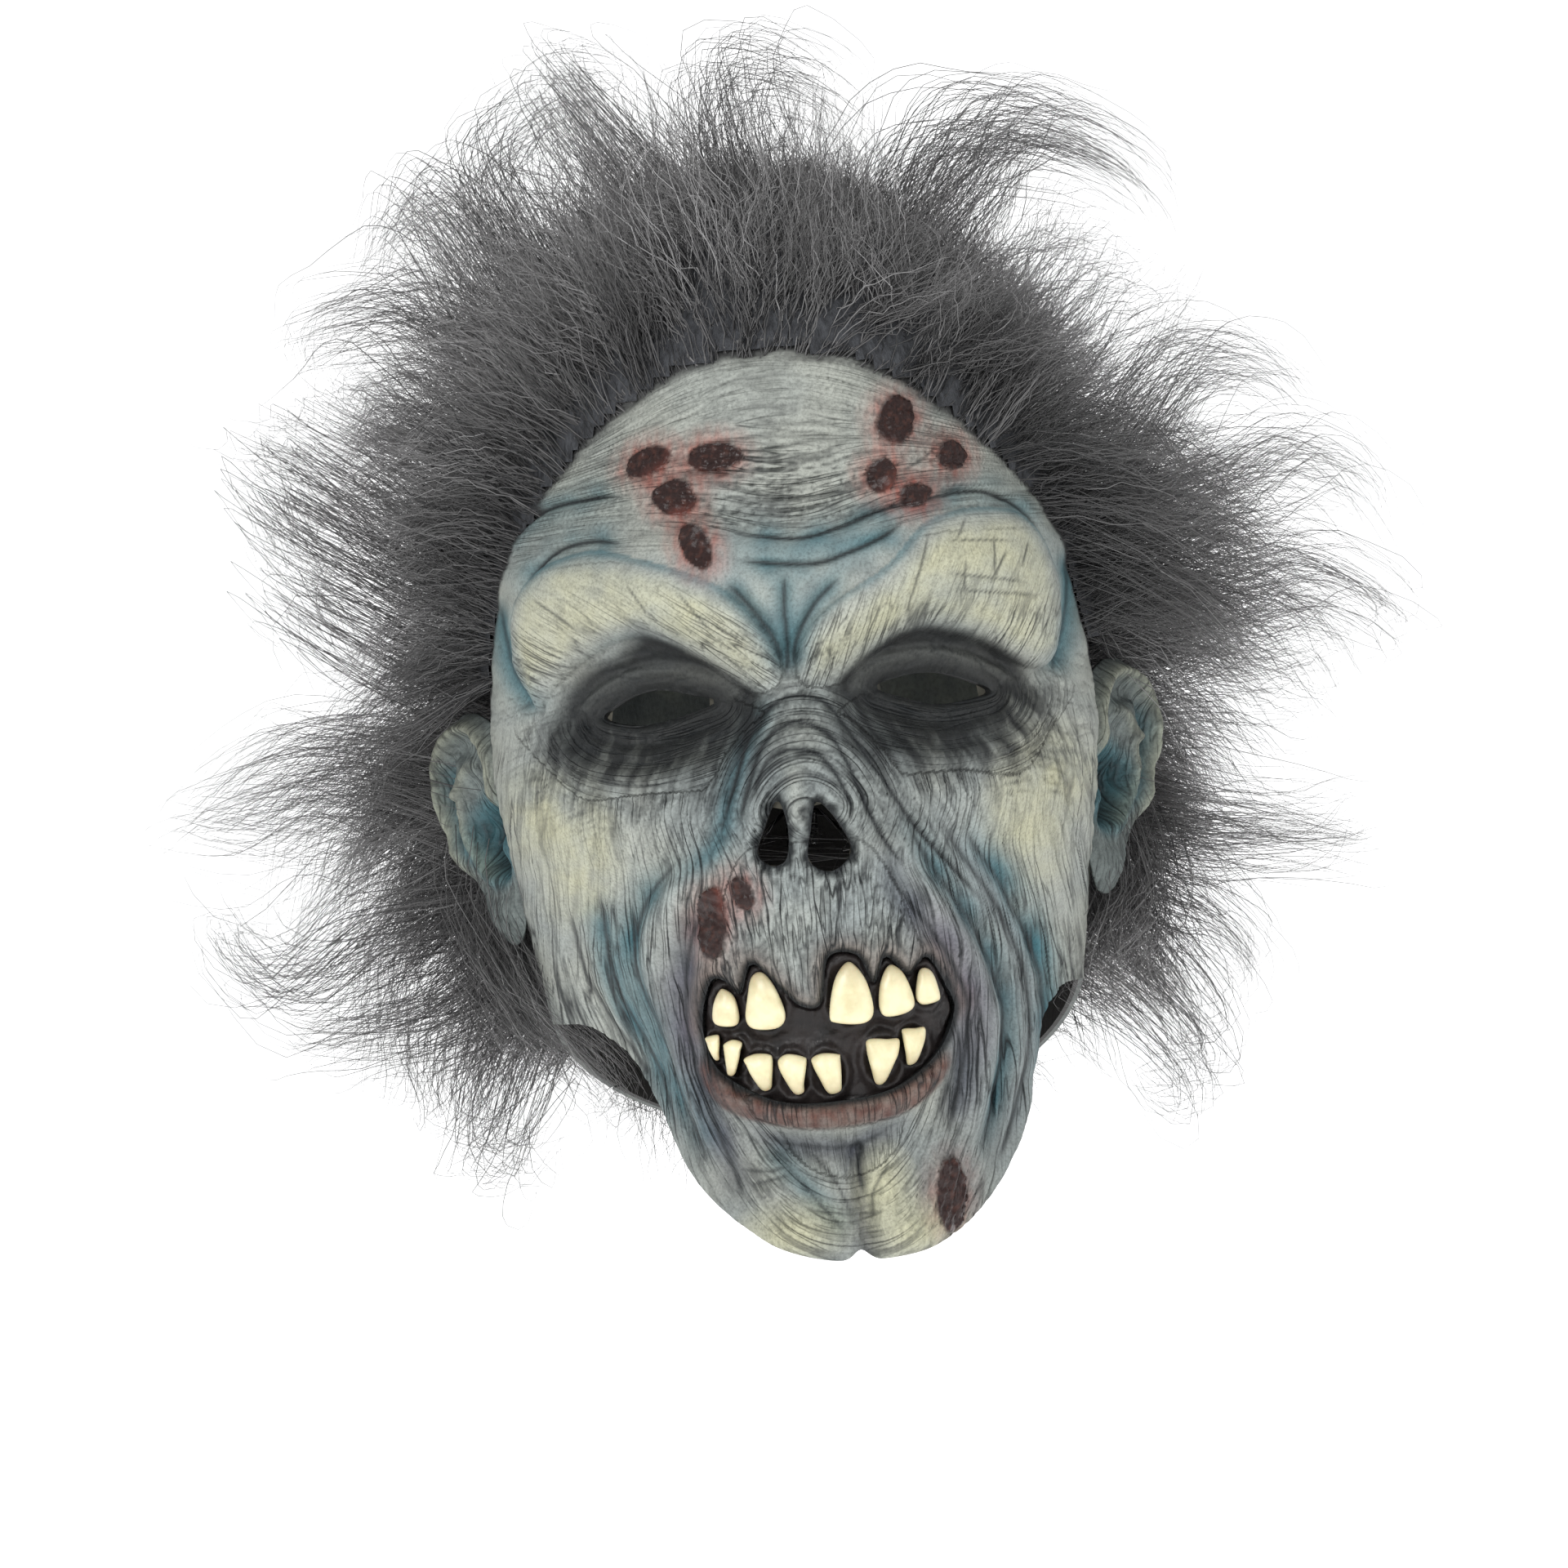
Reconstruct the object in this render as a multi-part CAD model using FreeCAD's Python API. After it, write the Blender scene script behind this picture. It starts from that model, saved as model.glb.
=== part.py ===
import FreeCAD, Part

import math
import os

from FreeCAD import Matrix, Rotation, Vector

# Overhead zombie mask: a slush-moulded latex face and hood with a wig of long-pile fur.
# Millimetres. +Z up, the face looks along -Y, and the wearer's left is +X.
# The origin is the centre of the neck opening, level with the edge of the mask.

# Driving dimensions
WALL = 2.2              # latex thickness
EYE_Z = 120.0           # height of the eyes above the origin
EYE_X = 32.0            # half the distance between the eyes
HALF_WIDTH = 72.0       # half width of the hood at its widest
RIM_HALF_WIDTH = 56.0   # half width at the neck opening
LONG = 1.31             # length over width of every level section
WIDE_Z = 105.0          # height of the widest section
TOP_Z = 240.0           # outside of the crown
SEAM_Z = 205.0          # the face casting ends here, under the front of the fur
CHIN_Z = -9.0           # lowest edge, under the chin
JAW_Z = 48.0            # edge at the ears
NAPE_Z = 12.0           # edge at the back
NAPE_Y = 80.0           # where the slanted rear edge reaches NAPE_Z
GAP = 0.3               # clearance between neighbouring soft pieces
SLIT_HALF = 0.75        # half width of the rear slit
SLIT_TOP_Z = 100.0      # the rear slit ends here
CORNER_HALF = 4.0       # the slit is this much wider at its upper end, so the folding flaps clear
CORNER_Z = 84.0         # and the wider end starts here
FLAP_RIM = (56.0, 43.0, 29.0)    # where a flap's crease meets the edge
SAW_HALF = 0.4          # half the width of the cut along a crease
NOTCH_HALF_DEG = 23.0   # half angle of the clearance in the fur over each crease
NOTCH_DEPTH = 2.0       # the clearance's point lies this far inside the hood's surface
NAPE_FUR_Y = 30.0       # the fur of the flaps lies behind this
FUR_REACH = 260.0       # larger than the wig, for cutting tools
SPLIT_Z = 191.5         # crown fur above, side and back fur below
SPLIT_Y = 70.0          # side fur in front, back fur behind

# Relief of the face over the plain hood: (height, centre x, centre z, spread x, spread z)
RELIEF = [
    (13.0, 0.0, 18.0, 36.0, 46.0),      # jaw stands forward
    (4.0, 0.0, 64.0, 24.0, 16.0),       # muzzle
    (5.0, -12.0, 2.0, 9.0, 9.0),        # chin, right lobe
    (5.0, 13.0, 2.0, 9.0, 9.0),         # chin, left lobe
    (9.0, -30.0, 147.0, 21.0, 11.0),    # right brow
    (9.0, 30.0, 147.0, 21.0, 11.0),     # left brow
    (5.0, 0.0, 138.0, 13.0, 11.0),      # between the brows
    (-15.0, -31.0, 120.0, 16.0, 11.0),  # right eye socket
    (-15.0, 31.0, 120.0, 16.0, 11.0),   # left eye socket
    (9.0, 0.0, 104.0, 8.0, 13.0),       # nose bridge
    (8.0, 0.0, 88.0, 13.0, 10.0),       # nose
    (6.0, -43.0, 97.0, 13.0, 13.0),     # right cheekbone
    (6.0, 43.0, 97.0, 13.0, 13.0),      # left cheekbone
    (-6.0, -44.0, 56.0, 13.0, 20.0),    # right cheek hollow
    (-6.0, 44.0, 56.0, 13.0, 20.0),     # left cheek hollow
]
RELIEF_FULL_DEG = 66.0   # the relief is whole in front of this angle
RELIEF_END_DEG = 88.0    # and gone behind this one

# Tooth outlines: (x, z) of the bottom-left, bottom-right, top-right and top-left corners
UPPER_TEETH = [
    ((-23.4, 46.6), (-18.2, 47.0), (-19.6, 54.2), (-21.6, 54.8)),
    ((-15.8, 46.2), (-8.2, 45.8), (-11.2, 57.2), (-14.4, 57.6)),
    ((2.8, 45.2), (11.6, 45.4), (9.0, 58.0), (3.8, 57.6)),
    ((14.0, 46.0), (20.6, 46.6), (18.6, 56.4), (14.8, 56.6)),
    ((22.4, 47.6), (27.2, 48.2), (26.2, 55.2), (23.6, 55.4)),
]
LOWER_TEETH = [
    ((-25.0, 39.2), (-23.2, 39.4), (-23.4, 44.2), (-25.8, 44.4)),
    ((-20.6, 35.8), (-18.6, 35.8), (-18.6, 42.0), (-22.0, 42.8)),
    ((-15.4, 31.6), (-12.6, 31.8), (-11.8, 38.4), (-17.4, 39.4)),
    ((-8.6, 30.4), (-5.4, 30.4), (-4.4, 38.0), (-10.0, 38.4)),
    ((-1.2, 30.0), (2.8, 30.0), (3.6, 38.0), (-2.4, 38.2)),
    ((12.0, 31.0), (15.6, 31.2), (16.8, 40.2), (10.2, 39.6)),
    ((19.2, 34.6), (21.6, 34.8), (23.0, 42.4), (18.2, 41.8)),
]
TOOTH_DEPTH = 5.0       # how far a tooth stands out from the gums
TOOTH_ROUND = 0.9
TOOTH_BULGE = 0.06      # how far the sides swell, as a part of the half width
MUZZLE_RADIUS = 95.0    # distance of the teeth from the Z axis
FACE_WALL = WALL + 0.2
GUM_DEPTH = FACE_WALL + GAP      # from the face's outside to the gums
GUM_WALL = 2.0
GUM_LOW, GUM_HIGH = 21.0, 67.0
MOUTH = [(-28.5, 47.0), (-24.5, 57.5), (-14.0, 61.0), (-4.0, 57.0), (7.0, 62.0),
         (17.0, 60.5), (27.0, 59.5), (32.0, 49.0), (27.5, 36.0), (14.0, 27.5),
         (-3.0, 26.0), (-18.0, 30.0), (-27.0, 37.5)]
EYE_HOLE = (14.0, 6.0)       # half width and half height
NOSTRILS = [(-7.0, 87.0, 3.8, 6.5), (5.5, 86.0, 5.0, 7.0)]   # x, z, half width, half height

# Inside: cloth tape over the seam between the castings, a patch over the slit's end and a label
TAPE = 0.6
LINER_PARTS = {
    "seam_tape_right": ((-100, -6, 56), (-20, 6, 192)),
    "seam_tape_left": ((20, -6, 56), (100, 6, 192)),
    "seam_tape_front": ((-40, -120, 199), (40, -12, 211)),
    "slit_patch": ((-14, 20, SLIT_TOP_Z + 2), (14, 140, SLIT_TOP_Z + 24)),
    "care_label": ((-16, 20, 140), (16, 140, 172)),
}
PAD = 7.0               # foam brow pad
PAD_LOW, PAD_HIGH = 157.0, 178.0

# Wig: one rounded volume, (centre), (half sizes), parted at SPLIT_Z and SPLIT_Y
WIG = ((-5.0, 30.0, 143.0), (158.0, 106.0, 134.0))
NAPE_FUR = ((0.0, 30.0, 62.0), (92.0, 96.0, 66.0))
HAIRLINE = ((-75.0, 199.0), (-5.0, 110.0))   # y, z of two points of the fur's front plane
EAR_BACK_Y = 25.0            # below EAR_TOP_Z the side fur starts behind this
EAR_TOP_Z = 128.0
TEMPLE_X = 20.0              # the side fur's region starts this far from the middle

SIDES = {"right": -1, "left": 1}

os.makedirs("parts", exist_ok=True)


def save(name, shape):
    shape.exportStep("parts/%s.step" % name)
    print(name, round(shape.Volume), shape.isValid(), len(shape.Solids))


def section_half_width(z):
    """Half width of the outside of the plain hood at height z."""
    if z <= WIDE_Z:
        return RIM_HALF_WIDTH + (HALF_WIDTH - RIM_HALF_WIDTH) * z / WIDE_Z
    height = (z - WIDE_Z) / (TOP_Z - WIDE_Z)
    return HALF_WIDTH * math.sqrt(max(0.0, 1.0 - height * height))


def plain_radius(angle, z):
    """Distance from the Z axis to the plain hood, at an angle in degrees from the face's middle."""
    half = section_half_width(z)
    across, along = math.sin(math.radians(angle)), math.cos(math.radians(angle))
    return half / math.sqrt(across ** 2 + (along / LONG) ** 2)


def relief(x, z):
    total = 0.0
    for height, cx, cz, sx, sz in RELIEF:
        total += height * math.exp(-0.5 * (((x - cx) / sx) ** 2 + ((z - cz) / sz) ** 2))
    return total


def face_radius(angle, z):
    plain = plain_radius(angle, z)
    fade = min(1.0, max(0.0, (RELIEF_END_DEG - abs(angle)) / (RELIEF_END_DEG - RELIEF_FULL_DEG)))
    fade = fade * fade * (3 - 2 * fade)
    return plain + fade * relief(plain * math.sin(math.radians(angle)), z)


def jaw_edge(angle):
    """Height of the face's lower edge at an angle from its middle."""
    turn = math.radians(min(abs(angle), 62.0) * 180.0 / 62.0)
    return CHIN_Z + (JAW_Z - CHIN_Z) * (1 - math.cos(turn)) / 2


def at(radius, angle, z):
    turn = math.radians(angle)
    return Vector(radius * math.sin(turn), -radius * math.cos(turn), z)


def thick_patch(near, far, angles, low, high, columns, rows):
    """A curved plate that follows the face, between two depths behind its outside."""
    def surface(depth):
        grid = []
        for i in range(columns):
            angle = angles[0] + (angles[1] - angles[0]) * i / (columns - 1)
            bottom, top = low(angle), high(angle)
            grid.append([])
            for j in range(rows):
                z = bottom + (top - bottom) * j / (rows - 1)
                grid[-1].append(at(face_radius(angle, z) - depth, angle, z))
        skin = Part.BSplineSurface()
        skin.interpolate(grid)
        return skin

    outer, inner = surface(near), surface(far)
    faces = [outer.toShape(), inner.toShape()]
    u0, u1, v0, v1 = outer.bounds()
    p0, p1, q0, q1 = inner.bounds()
    for a, b in ((outer.uIso(u0), inner.uIso(p0)), (outer.uIso(u1), inner.uIso(p1)),
                 (outer.vIso(v0), inner.vIso(q0)), (outer.vIso(v1), inner.vIso(q1))):
        faces.append(Part.makeRuledSurface(a.toShape(), b.toShape()))
    shell = Part.makeShell(faces)
    shell.sewShape()
    solid = Part.makeSolid(shell)
    if solid.Volume < 0:
        solid.reverse()
    return solid


def hood_profile(inset, bottom):
    """Points of the plain hood's half outline, moved in by inset, from the crown down."""
    steps = 14
    top = TOP_Z - WIDE_Z
    points = []
    for i in range(steps + 1):
        turn = math.pi / 2 * (1 - i / steps)
        points.append(Vector((HALF_WIDTH - inset) * math.cos(turn), 0,
                             WIDE_Z + (top - inset) * math.sin(turn)))
    points[0].x = 0.0
    half = section_half_width(bottom) - inset
    return points, Vector(half, 0, bottom)


def smooth_edge(points):
    curve = Part.BSplineCurve()
    curve.interpolate(points)
    return curve.toShape()


def hood(outer_inset, inner_inset, bottom=-40.0):
    """The plain hood between two insets, or solid if the inner one is None."""
    points, foot = hood_profile(outer_inset, bottom)
    edges = [smooth_edge(points), Part.makeLine(points[-1], foot)]
    if inner_inset is None:
        foot_middle = Vector(0, 0, bottom)
        edges += [Part.makeLine(foot, foot_middle), Part.makeLine(foot_middle, points[0])]
    else:
        inner, inner_foot = hood_profile(inner_inset, bottom)
        edges += [Part.makeLine(foot, inner_foot), Part.makeLine(inner_foot, inner[-1]),
                  smooth_edge(inner), Part.makeLine(inner[0], points[0])]
    outline = Part.Face(Part.Wire(Part.__sortEdges__(edges)))
    turned = outline.revolve(Vector(0, 0, 0), Vector(0, 0, 1), 360)
    stretch = Matrix()
    stretch.scale(1.0, LONG, 1.0)
    solid = turned.transformGeometry(stretch)
    return solid if solid.Volume > 0 else solid.reversed()


def box(low, high):
    size = [b - a for a, b in zip(low, high)]
    return Part.makeBox(*size, Vector(*low))


def ellipsoid(centre, halves):
    shape = Part.makeSphere(1.0)
    placing = Matrix()
    placing.scale(*halves)
    placing.move(Vector(*centre))
    return shape.transformGeometry(placing)


def prism_xz(points, y0, y1):
    """A smooth closed outline in X and Z, carried from y0 to y1."""
    curve = Part.BSplineCurve()
    curve.interpolate([Vector(x, y0, z) for x, z in points], PeriodicFlag=True)
    return Part.Face(Part.Wire(curve.toShape())).extrude(Vector(0, y1 - y0, 0))


def half_space(point, normal):
    """A big block that fills the side of a plane its normal points away from."""
    reach = 2 * FUR_REACH
    block = Part.makeBox(2 * reach, 2 * reach, reach, Vector(-reach, -reach, -reach))
    block.Placement = FreeCAD.Placement(point, Rotation(Vector(0, 0, 1), normal))
    return block


# Creases of the two rear flaps ---------------------------------------------------

def crease(side):
    """The fold of one rear flap: a point on the hood, the line down it, outward, and up across it."""
    top = Vector(0, LONG * section_half_width(SLIT_TOP_Z), SLIT_TOP_Z)
    foot = Vector(side * FLAP_RIM[0], FLAP_RIM[1], FLAP_RIM[2])
    middle = (top + foot) * 0.5
    half = section_half_width(middle.z)
    to_wall = 1.0 / math.sqrt((middle.x / half) ** 2 + (middle.y / (half * LONG)) ** 2)
    wall = Vector(middle.x * to_wall, middle.y * to_wall, middle.z)
    along = (foot - top).normalize()
    out = Vector(wall.x / half ** 2, wall.y / (half * LONG) ** 2, 0).normalize()
    out = (out - along * out.dot(along)).normalize()
    across = along.cross(out)
    return wall, along, out, across if across.z > 0 else across * -1


def above_crease(side):
    """Everything on the hood's side of one crease, and half of the saw cut."""
    point, along, out, across = crease(side)
    return half_space(point - across * SAW_HALF, across * -1)


def below_crease(side):
    """The flap's side of one crease and half of the saw cut, on that side of the head's middle."""
    point, along, out, across = crease(side)
    return half_space(point + across * SAW_HALF, across).common(half_of_head(side, 0.0))


def half_of_head(side, inner):
    """Space behind the ears, from inner outward on one side."""
    ends = sorted((inner * side, FUR_REACH * side))
    return box((ends[0], 1.0, -60.0), (ends[1], FUR_REACH, FUR_REACH))


def slit_corner():
    """The slit's wider upper end."""
    return box((-CORNER_HALF, 1.0, CORNER_Z), (CORNER_HALF, FUR_REACH, FUR_REACH))


def notch(side):
    """The wedge over one crease that the fur leaves free, so that the flap can fold outward."""
    point, along, out, across = crease(side)
    foot = point - out * NOTCH_DEPTH - along * FUR_REACH
    spread = FUR_REACH * math.tan(math.radians(NOTCH_HALF_DEG))
    corners = [foot, foot + out * FUR_REACH + across * spread,
               foot + out * FUR_REACH - across * spread]
    face = Part.Face(Part.makePolygon(corners + [corners[0]]))
    return face.extrude(along * 2 * FUR_REACH)


# Latex ---------------------------------------------------------------------------

def face_skin():
    skin = thick_patch(0.0, FACE_WALL, (-90.0, 90.0), jaw_edge, lambda a: SEAM_Z, 49, 41)
    for side in (-1, 1):
        half_w, half_h = EYE_HOLE
        almond = [(side * EYE_X - half_w, EYE_Z - 0.5), (side * EYE_X, EYE_Z + half_h),
                  (side * EYE_X + half_w, EYE_Z - 0.5), (side * EYE_X, EYE_Z - half_h)]
        skin = skin.cut(prism_xz(almond, -130, -40))
    for x, z, half_w, half_h in NOSTRILS:
        oval = [(x - half_w, z), (x, z + half_h), (x + half_w, z), (x, z - half_h)]
        skin = skin.cut(prism_xz(oval, -130, -60))
    return skin.cut(prism_xz(MOUTH, -130, -60))


def rear_hood():
    """The rear casting with its slanted lower edge, before the flaps are cut free."""
    shell = hood(0.0, WALL)
    shell = shell.cut(box((-120, -140, -60), (120, 0, SEAM_Z)))
    slope = Vector(0, (JAW_Z - NAPE_Z), NAPE_Y).normalize()
    return shell.cut(half_space(Vector(0, 0, JAW_Z), slope))


def rear_flap(whole, side):
    flap = whole.common(half_of_head(side, SLIT_HALF)).cut(above_crease(side))
    return flap.cut(slit_corner())


def skull_skin(whole):
    shell = whole.cut(box((-SLIT_HALF, 1, -60), (SLIT_HALF, 160, SLIT_TOP_Z)))
    return shell.cut(below_crease(-1)).cut(below_crease(1))


def ear(side, head):
    """One ear: a cupped plate that leans out from the head."""
    bowl = ellipsoid((0, 0, 0), (8.0, 17.0, 30.0))
    bowl = bowl.cut(ellipsoid((6.5, 1.5, 3.0), (8.0, 11.5, 22.0)))
    bowl.rotate(Vector(0, 0, 0), Vector(0, 1, 0), 12.0)
    bowl.rotate(Vector(0, 0, 0), Vector(0, 0, 1), -38.0)
    bowl.rotate(Vector(0, 0, 0), Vector(1, 0, 0), 12.0)
    if side < 0:
        bowl = bowl.mirror(Vector(0, 0, 0), Vector(1, 0, 0))
    bowl.translate(Vector(side * 77.0, 6.0, 92.0))
    solids = bowl.cut(head).Solids
    return max(solids, key=lambda s: s.Volume)


# Mouth ---------------------------------------------------------------------------

def tooth(corners, gum_backing):
    """One tooth, standing on the gum plate and reaching out through the mouth."""
    cx = sum(x for x, z in corners) / 4
    cz = sum(z for x, z in corners) / 4
    angle = math.degrees(math.atan2(cx, MUZZLE_RADIUS))
    gum_y = -(face_radius(angle, cz) - GUM_DEPTH) * math.cos(math.radians(angle))
    outline = []
    for (ax, az), (bx, bz) in zip(corners, corners[1:] + corners[:1]):
        mx, mz = (ax + bx) / 2, (az + bz) / 2
        outline.append((ax, az))
        outline.append((mx + (mx - cx) * TOOTH_BULGE, mz + (mz - cz) * TOOTH_BULGE))
    body = prism_xz(outline, gum_y - TOOTH_DEPTH, gum_y + 6.0).cut(gum_backing)
    body = max(body.Solids, key=lambda s: s.Volume)
    front = [e for e in body.Edges if e.BoundBox.YMax < gum_y - TOOTH_DEPTH + 0.01]
    try:
        rounded = body.makeFillet(TOOTH_ROUND, front)
        return rounded if rounded.isValid() else body
    except Part.OCCError:
        return body


# Fur -----------------------------------------------------------------------------

def fur_front():
    """Everything in front of the plane on which the fur begins."""
    (y0, z0), (y1, z1) = HAIRLINE
    return half_space(Vector(0, y0, z0), Vector(0, z0 - z1, y1 - y0).normalize())


def wig_part(wig, low, high):
    fur = wig.common(box(low, high))
    return max(fur.Solids, key=lambda s: s.Volume)


def whole_wig(head, face):
    """The wig's volume, clear of the head, the face, the rear flaps and the ears."""
    wig = ellipsoid(*WIG).cut(fur_front()).cut(head).cut(face)
    wig = wig.cut(box((-FUR_REACH, -FUR_REACH, -60), (FUR_REACH, EAR_BACK_Y, EAR_TOP_Z)))
    for side in (-1, 1):
        wig = wig.cut(below_crease(side)).cut(notch(side))
    return wig


def nape_fur(side, head):
    fur = ellipsoid(*NAPE_FUR).common(half_of_head(side, SLIT_HALF)).cut(above_crease(side))
    fur = fur.cut(notch(side)).cut(head).cut(slit_corner())
    fur = fur.cut(box((-FUR_REACH, -FUR_REACH, -60), (FUR_REACH, NAPE_FUR_Y, FUR_REACH)))
    return max(fur.Solids, key=lambda s: s.Volume)


def main():
    whole = rear_hood()
    head = hood(-GAP, None)
    face = thick_patch(-GAP, 40.0, (-89.5, 89.5), lambda a: 40.0, lambda a: SEAM_Z + 2, 41, 31)
    gum_backing = thick_patch(GUM_DEPTH - 0.05, 60.0, (-34.0, 34.0),
                              lambda a: GUM_LOW - 6, lambda a: GUM_HIGH + 6, 29, 23)
    save("face_skin", face_skin())
    save("skull_skin", skull_skin(whole))
    for name, side in SIDES.items():
        save("%s_rear_flap" % name, rear_flap(whole, side))
        save("%s_ear" % name, ear(side, head))
        save("%s_nape_fur" % name, nape_fur(side, head))
    save("gum_plate", thick_patch(GUM_DEPTH, GUM_DEPTH + GUM_WALL, (-27.0, 27.0),
                                  lambda a: GUM_LOW, lambda a: GUM_HIGH, 25, 21))
    for row, teeth in (("upper", UPPER_TEETH), ("lower", LOWER_TEETH)):
        for number, corners in enumerate(teeth, 1):
            save("%s_tooth_%d" % (row, number), tooth(list(corners), gum_backing))
    liner = hood(WALL + GAP, WALL + GAP + TAPE)
    for name, (low, high) in LINER_PARTS.items():
        save(name, liner.common(box(low, high)))
    save("brow_pad", thick_patch(GUM_DEPTH, GUM_DEPTH + PAD, (-27.0, 27.0),
                                 lambda a: PAD_LOW, lambda a: PAD_HIGH, 19, 9))
    wig = whole_wig(head, face)
    reach = FUR_REACH
    save("crown_fur", wig_part(wig, (-reach, -reach, SPLIT_Z + GAP), (reach, reach, 300)))
    save("back_fur", wig_part(wig, (-reach, SPLIT_Y + GAP, -60), (reach, reach, SPLIT_Z)))
    for name, side in SIDES.items():
        ends = sorted((TEMPLE_X * side, reach * side))
        low, high = (ends[0], -reach, -60), (ends[1], SPLIT_Y, SPLIT_Z)
        save("%s_side_fur" % name, wig_part(wig, low, high))


main()
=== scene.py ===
import math

import bpy
import numpy as np
from mathutils import Matrix, Vector


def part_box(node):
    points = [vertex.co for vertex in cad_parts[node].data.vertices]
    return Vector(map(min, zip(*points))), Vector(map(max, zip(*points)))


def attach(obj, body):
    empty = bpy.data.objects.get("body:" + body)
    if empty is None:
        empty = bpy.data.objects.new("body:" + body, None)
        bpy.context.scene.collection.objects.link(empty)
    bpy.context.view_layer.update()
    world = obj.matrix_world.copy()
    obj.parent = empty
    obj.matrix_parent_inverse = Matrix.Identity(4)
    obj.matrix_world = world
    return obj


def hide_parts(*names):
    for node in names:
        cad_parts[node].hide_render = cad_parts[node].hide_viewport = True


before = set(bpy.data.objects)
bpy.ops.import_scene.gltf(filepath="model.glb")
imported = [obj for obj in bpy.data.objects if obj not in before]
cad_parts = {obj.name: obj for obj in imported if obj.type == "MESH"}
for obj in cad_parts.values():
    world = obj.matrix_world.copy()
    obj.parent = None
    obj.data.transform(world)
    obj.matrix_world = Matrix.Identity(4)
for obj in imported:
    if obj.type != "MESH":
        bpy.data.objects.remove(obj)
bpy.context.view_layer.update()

MM = 0.001
LATEX = 2.4             # wall of the face, mm
HALF_WALL = 1.1         # of the rear casting, mm
FAR = 99.0              # stands for out of reach, mm
FULL_TURN = 6.283       # of a wave or a curl
PHASES = 6.28           # random phases lie between 0 and this

# The hood's sections, mm: how much longer than wide, the height of its widest section and of its
# top, half its width at the rim and at its widest
LONG, WIDE_Z, TOP_Z = 1.31, 105.0, 240.0
RIM_HALF, HALF = 56.0, 72.0
# The face's upper edge, its lower edge in front and at the sides, and where the sides begin
SEAM_Z, CHIN_Z, JAW_Z, JAW_TURN = 205.0, -9.0, 48.0, math.radians(62)
# Broad shapes of the face: height, centre x and z, spread x and z
RELIEF = [
    (13.0, 0.0, 18.0, 36.0, 46.0), (4.0, 0.0, 64.0, 24.0, 16.0),
    (5.0, -12.0, 2.0, 9.0, 9.0), (5.0, 13.0, 2.0, 9.0, 9.0),
    (9.0, -30.0, 147.0, 21.0, 11.0), (9.0, 30.0, 147.0, 21.0, 11.0),
    (5.0, 0.0, 138.0, 13.0, 11.0),
    (-15.0, -31.0, 120.0, 16.0, 11.0), (-15.0, 31.0, 120.0, 16.0, 11.0),
    (9.0, 0.0, 104.0, 8.0, 13.0), (8.0, 0.0, 88.0, 13.0, 10.0),
    (6.0, -43.0, 97.0, 13.0, 13.0), (6.0, 43.0, 97.0, 13.0, 13.0),
    (-6.0, -44.0, 56.0, 13.0, 20.0), (-6.0, 44.0, 56.0, 13.0, 20.0),
]


def srgb(r, g, b):
    """A colour given in 0 to 255 as linear light."""
    return np.array([c / 12.92 if c < 0.04045 else ((c + 0.055) / 1.055) ** 2.4
                     for c in (r / 255, g / 255, b / 255)])


PALE, COOL, CREAM = srgb(160, 163, 155), srgb(128, 137, 139), srgb(177, 176, 150)
TEAL, NAVY, CHARCOAL = srgb(32, 94, 106), srgb(60, 64, 84), srgb(27, 28, 29)
WASH, MAUVE, LIP = srgb(34, 37, 39), srgb(116, 112, 120), srgb(94, 58, 48)
PINK, SCAB, BRUISE = srgb(152, 80, 66), srgb(42, 27, 25), srgb(104, 84, 74)
CREST, UNDER_HAIR_SHADE, EAR = srgb(168, 172, 168), srgb(48, 48, 49), srgb(108, 116, 114)

# Noise ---------------------------------------------------------------------------


def lattice(i, j, seed):
    n = (i * 374761393 + j * 668265263 + seed * 974634541) & 0xFFFFFFFF
    n = ((n ^ (n >> 13)) * 1274126177) & 0xFFFFFFFF
    return ((n ^ (n >> 16)) & 0xFFFF) / 65535.0 * 2 * math.pi


def noise(x, y, seed):
    """Smooth gradient noise, about -1 to 1, one feature per unit."""
    xi, yi = np.floor(x).astype(np.int64), np.floor(y).astype(np.int64)
    fx, fy = x - xi, y - yi
    value = 0.0
    sx, sy = fx ** 3 * (fx * (fx * 6 - 15) + 10), fy ** 3 * (fy * (fy * 6 - 15) + 10)
    for dx in (0, 1):
        for dy in (0, 1):
            turn = lattice(xi + dx, yi + dy, seed)
            dot = np.cos(turn) * (fx - dx) + np.sin(turn) * (fy - dy)
            value = value + dot * (sx if dx else 1 - sx) * (sy if dy else 1 - sy)
    return value * 1.5


def layered(x, y, seed, octaves=3):
    return sum(noise(x * 2 ** k, y * 2 ** k, seed + 17 * k) / 2 ** k for k in range(octaves))


def cracks(across, along, seed, width=0.16):
    """Thin wavering lines that run along one coordinate, 0 to 1."""
    n = noise(across, along, seed) + 0.35 * noise(across * 2.3, along * 2.1, seed + 5)
    return np.clip(1 - np.abs(n) / width, 0, 1) ** 1.3


def smooth(value, low, high):
    t = np.clip((value - low) / (high - low), 0, 1)
    return t * t * (3 - 2 * t)


# Curves on the face, in (x, z) mm --------------------------------------------------


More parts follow.
